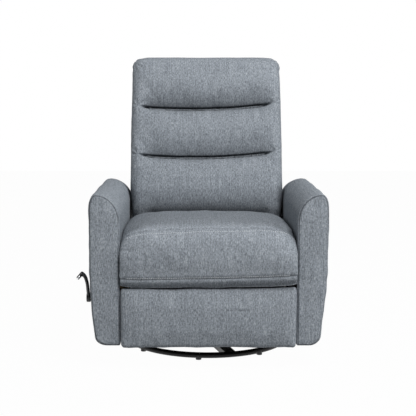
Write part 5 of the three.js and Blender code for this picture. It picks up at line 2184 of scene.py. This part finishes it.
@dataclass
class Studio:
    """The camera at the photograph's angle, the soft lights, the world and the floor."""

    camera_place: Point = (-0.0269, -3.5869, 0.9505)
    pitch: float = 82.73
    lens: float = 86.05
    shift: float = 0.0351
    sensor: float = 36.0
    world_level: float = 0.14
    floor_size: float = 14.0
    aim: Point = (0.02, 0.05, 0.5)
    lights: tuple[tuple[str, Point, float, float], ...] = (
        ("key_light", (1.1, -2.85, 3.85), 1.5, 176.0),
        ("left_light", (-3.2, -1.4, 1.9), 2.2, 18.0),
        ("right_light", (3.2, -0.9, 2.1), 2.2, 50.0),
        ("rear_light", (0.0, 3.4, 2.6), 2.6, 6.0),
    )

    def make_camera(self) -> None:
        """Makes the camera and gives it to the scene."""
        data = bpy.data.cameras.new("photo_camera")
        data.lens = self.lens
        data.sensor_width = self.sensor
        data.shift_x = self.shift
        camera = new_object("photo_camera", data, self.camera_place)
        camera.rotation_euler = (math.radians(self.pitch), 0.0, 0.0)
        bpy.context.scene.camera = camera

    def make_light(self, name: str, place: Point, size: float, energy: float) -> None:
        """Makes a square soft light that points at the object.

        Args:
            name: the light's name.
            place: where it stands.
            size: its side.
            energy: its power in watts.
        """
        data = bpy.data.lights.new(name, "AREA")
        data.size = size
        data.energy = energy
        light = new_object(name, data, place)
        light.rotation_euler = (Vector(self.aim) - Vector(place)).to_track_quat("-Z", "Y").to_euler()

    def make_world(self) -> None:
        """Makes a white world that lights the object more dimly than the camera sees it."""
        world = bpy.data.worlds.new("studio_world")
        bpy.context.scene.world = world
        world.use_nodes = True
        tree = world.node_tree
        tree.nodes.clear()
        paths = tree.nodes.new("ShaderNodeLightPath")
        mixed = tree.nodes.new("ShaderNodeMixShader")
        tree.links.new(paths.outputs["Is Camera Ray"], mixed.inputs[0])
        for number, strength in enumerate((self.world_level, 1.0), 1):
            glow = tree.nodes.new("ShaderNodeBackground")
            glow.inputs["Color"].default_value = (1.0, 1.0, 1.0, 1.0)
            glow.inputs["Strength"].default_value = strength
            tree.links.new(glow.outputs[0], mixed.inputs[number])
        output = tree.nodes.new("ShaderNodeOutputWorld")
        tree.links.new(mixed.outputs[0], output.inputs["Surface"])

    def make_floor(self, paint: Material) -> Object:
        """Makes the pale floor.

        Args:
            paint: its material.

        Returns:
            The floor.
        """
        bpy.ops.mesh.primitive_plane_add(size=self.floor_size, location=(0.0, 0.0, 0.0))
        floor = Bench.end(bpy.context.object, "studio_ground")
        floor.data.materials.append(paint)
        return floor

    def make(self, paint: Material) -> None:
        """Builds the stage round the object.

        Args:
            paint: the floor's material.
        """
        for light in self.lights:
            self.make_light(*light)
        self.make_world()
        self.make_floor(paint)


def dress_kept_nodes(finishes: dict[str, Material]) -> None:
    """Gives each kept CAD node its finish.

    Args:
        finishes: the materials by their short names.
    """
    plated = ("hub_plate", "bearing_race", "swivel_plate", "swivel_bolt", "glide_link", "torque_tube")
    plated += ("footrest_drive_link", "footrest_lift_link", "footrest_front_link", "seat_spring")
    wooden = ("arm_panel", "footrest_board", "seat_rail", "back_post")
    for name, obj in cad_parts.items():
        finish = "powder"
        if name.startswith(plated):
            finish = "zinc"
        elif name.startswith(wooden):
            finish = "ply"
        obj.data.materials.clear()
        obj.data.materials.append(finishes[finish])


def main() -> None:
    """Builds the whole dressed chair."""
    logging.basicConfig(level=logging.INFO, format="%(name)s: %(message)s")
    bpy.context.scene.view_settings.view_transform = "Standard"
    studio = Studio()
    studio.make_camera()
    finishes = {
        "linen": HeatheredLinen().make(),
        "lining": DarkCloth().make(),
        "powder": PowderCoat().make(),
        "zinc": ZincPlate().make(),
        "ply": RawPly().make(),
        "plastic": MouldedPlastic().make(),
        "chrome": PolishedChrome().make(),
        "thread": SewingThread().make(),
        "floor": StudioFloor().make(),
    }
    chair = chair_frame()
    piece = Piece(finishes)
    dress_kept_nodes(finishes)
    cushion = SeatCushion(chair, piece)
    TopStitching(chair, piece, cushion).make(cushion.make())
    back = BackPad(chair, piece)
    back.make()
    covers = RearCovers(chair, piece, back)
    covers.make_panel()
    covers.make_flap()
    covers.make_skirt()
    FootrestCushion(chair, piece).make()
    arms = ArmCover(chair, piece)
    template = arms.template()
    for side in Side:
        arms.make(side, template)
    bpy.data.objects.remove(template)
    base = BaseRing(chair, piece)
    base.make_ring()
    base.make_feet()
    ReleaseLever(chair, piece).make()
    Rivets(chair, piece).make()
    studio.make(finishes["floor"])


if __name__ == "__main__":
    main()
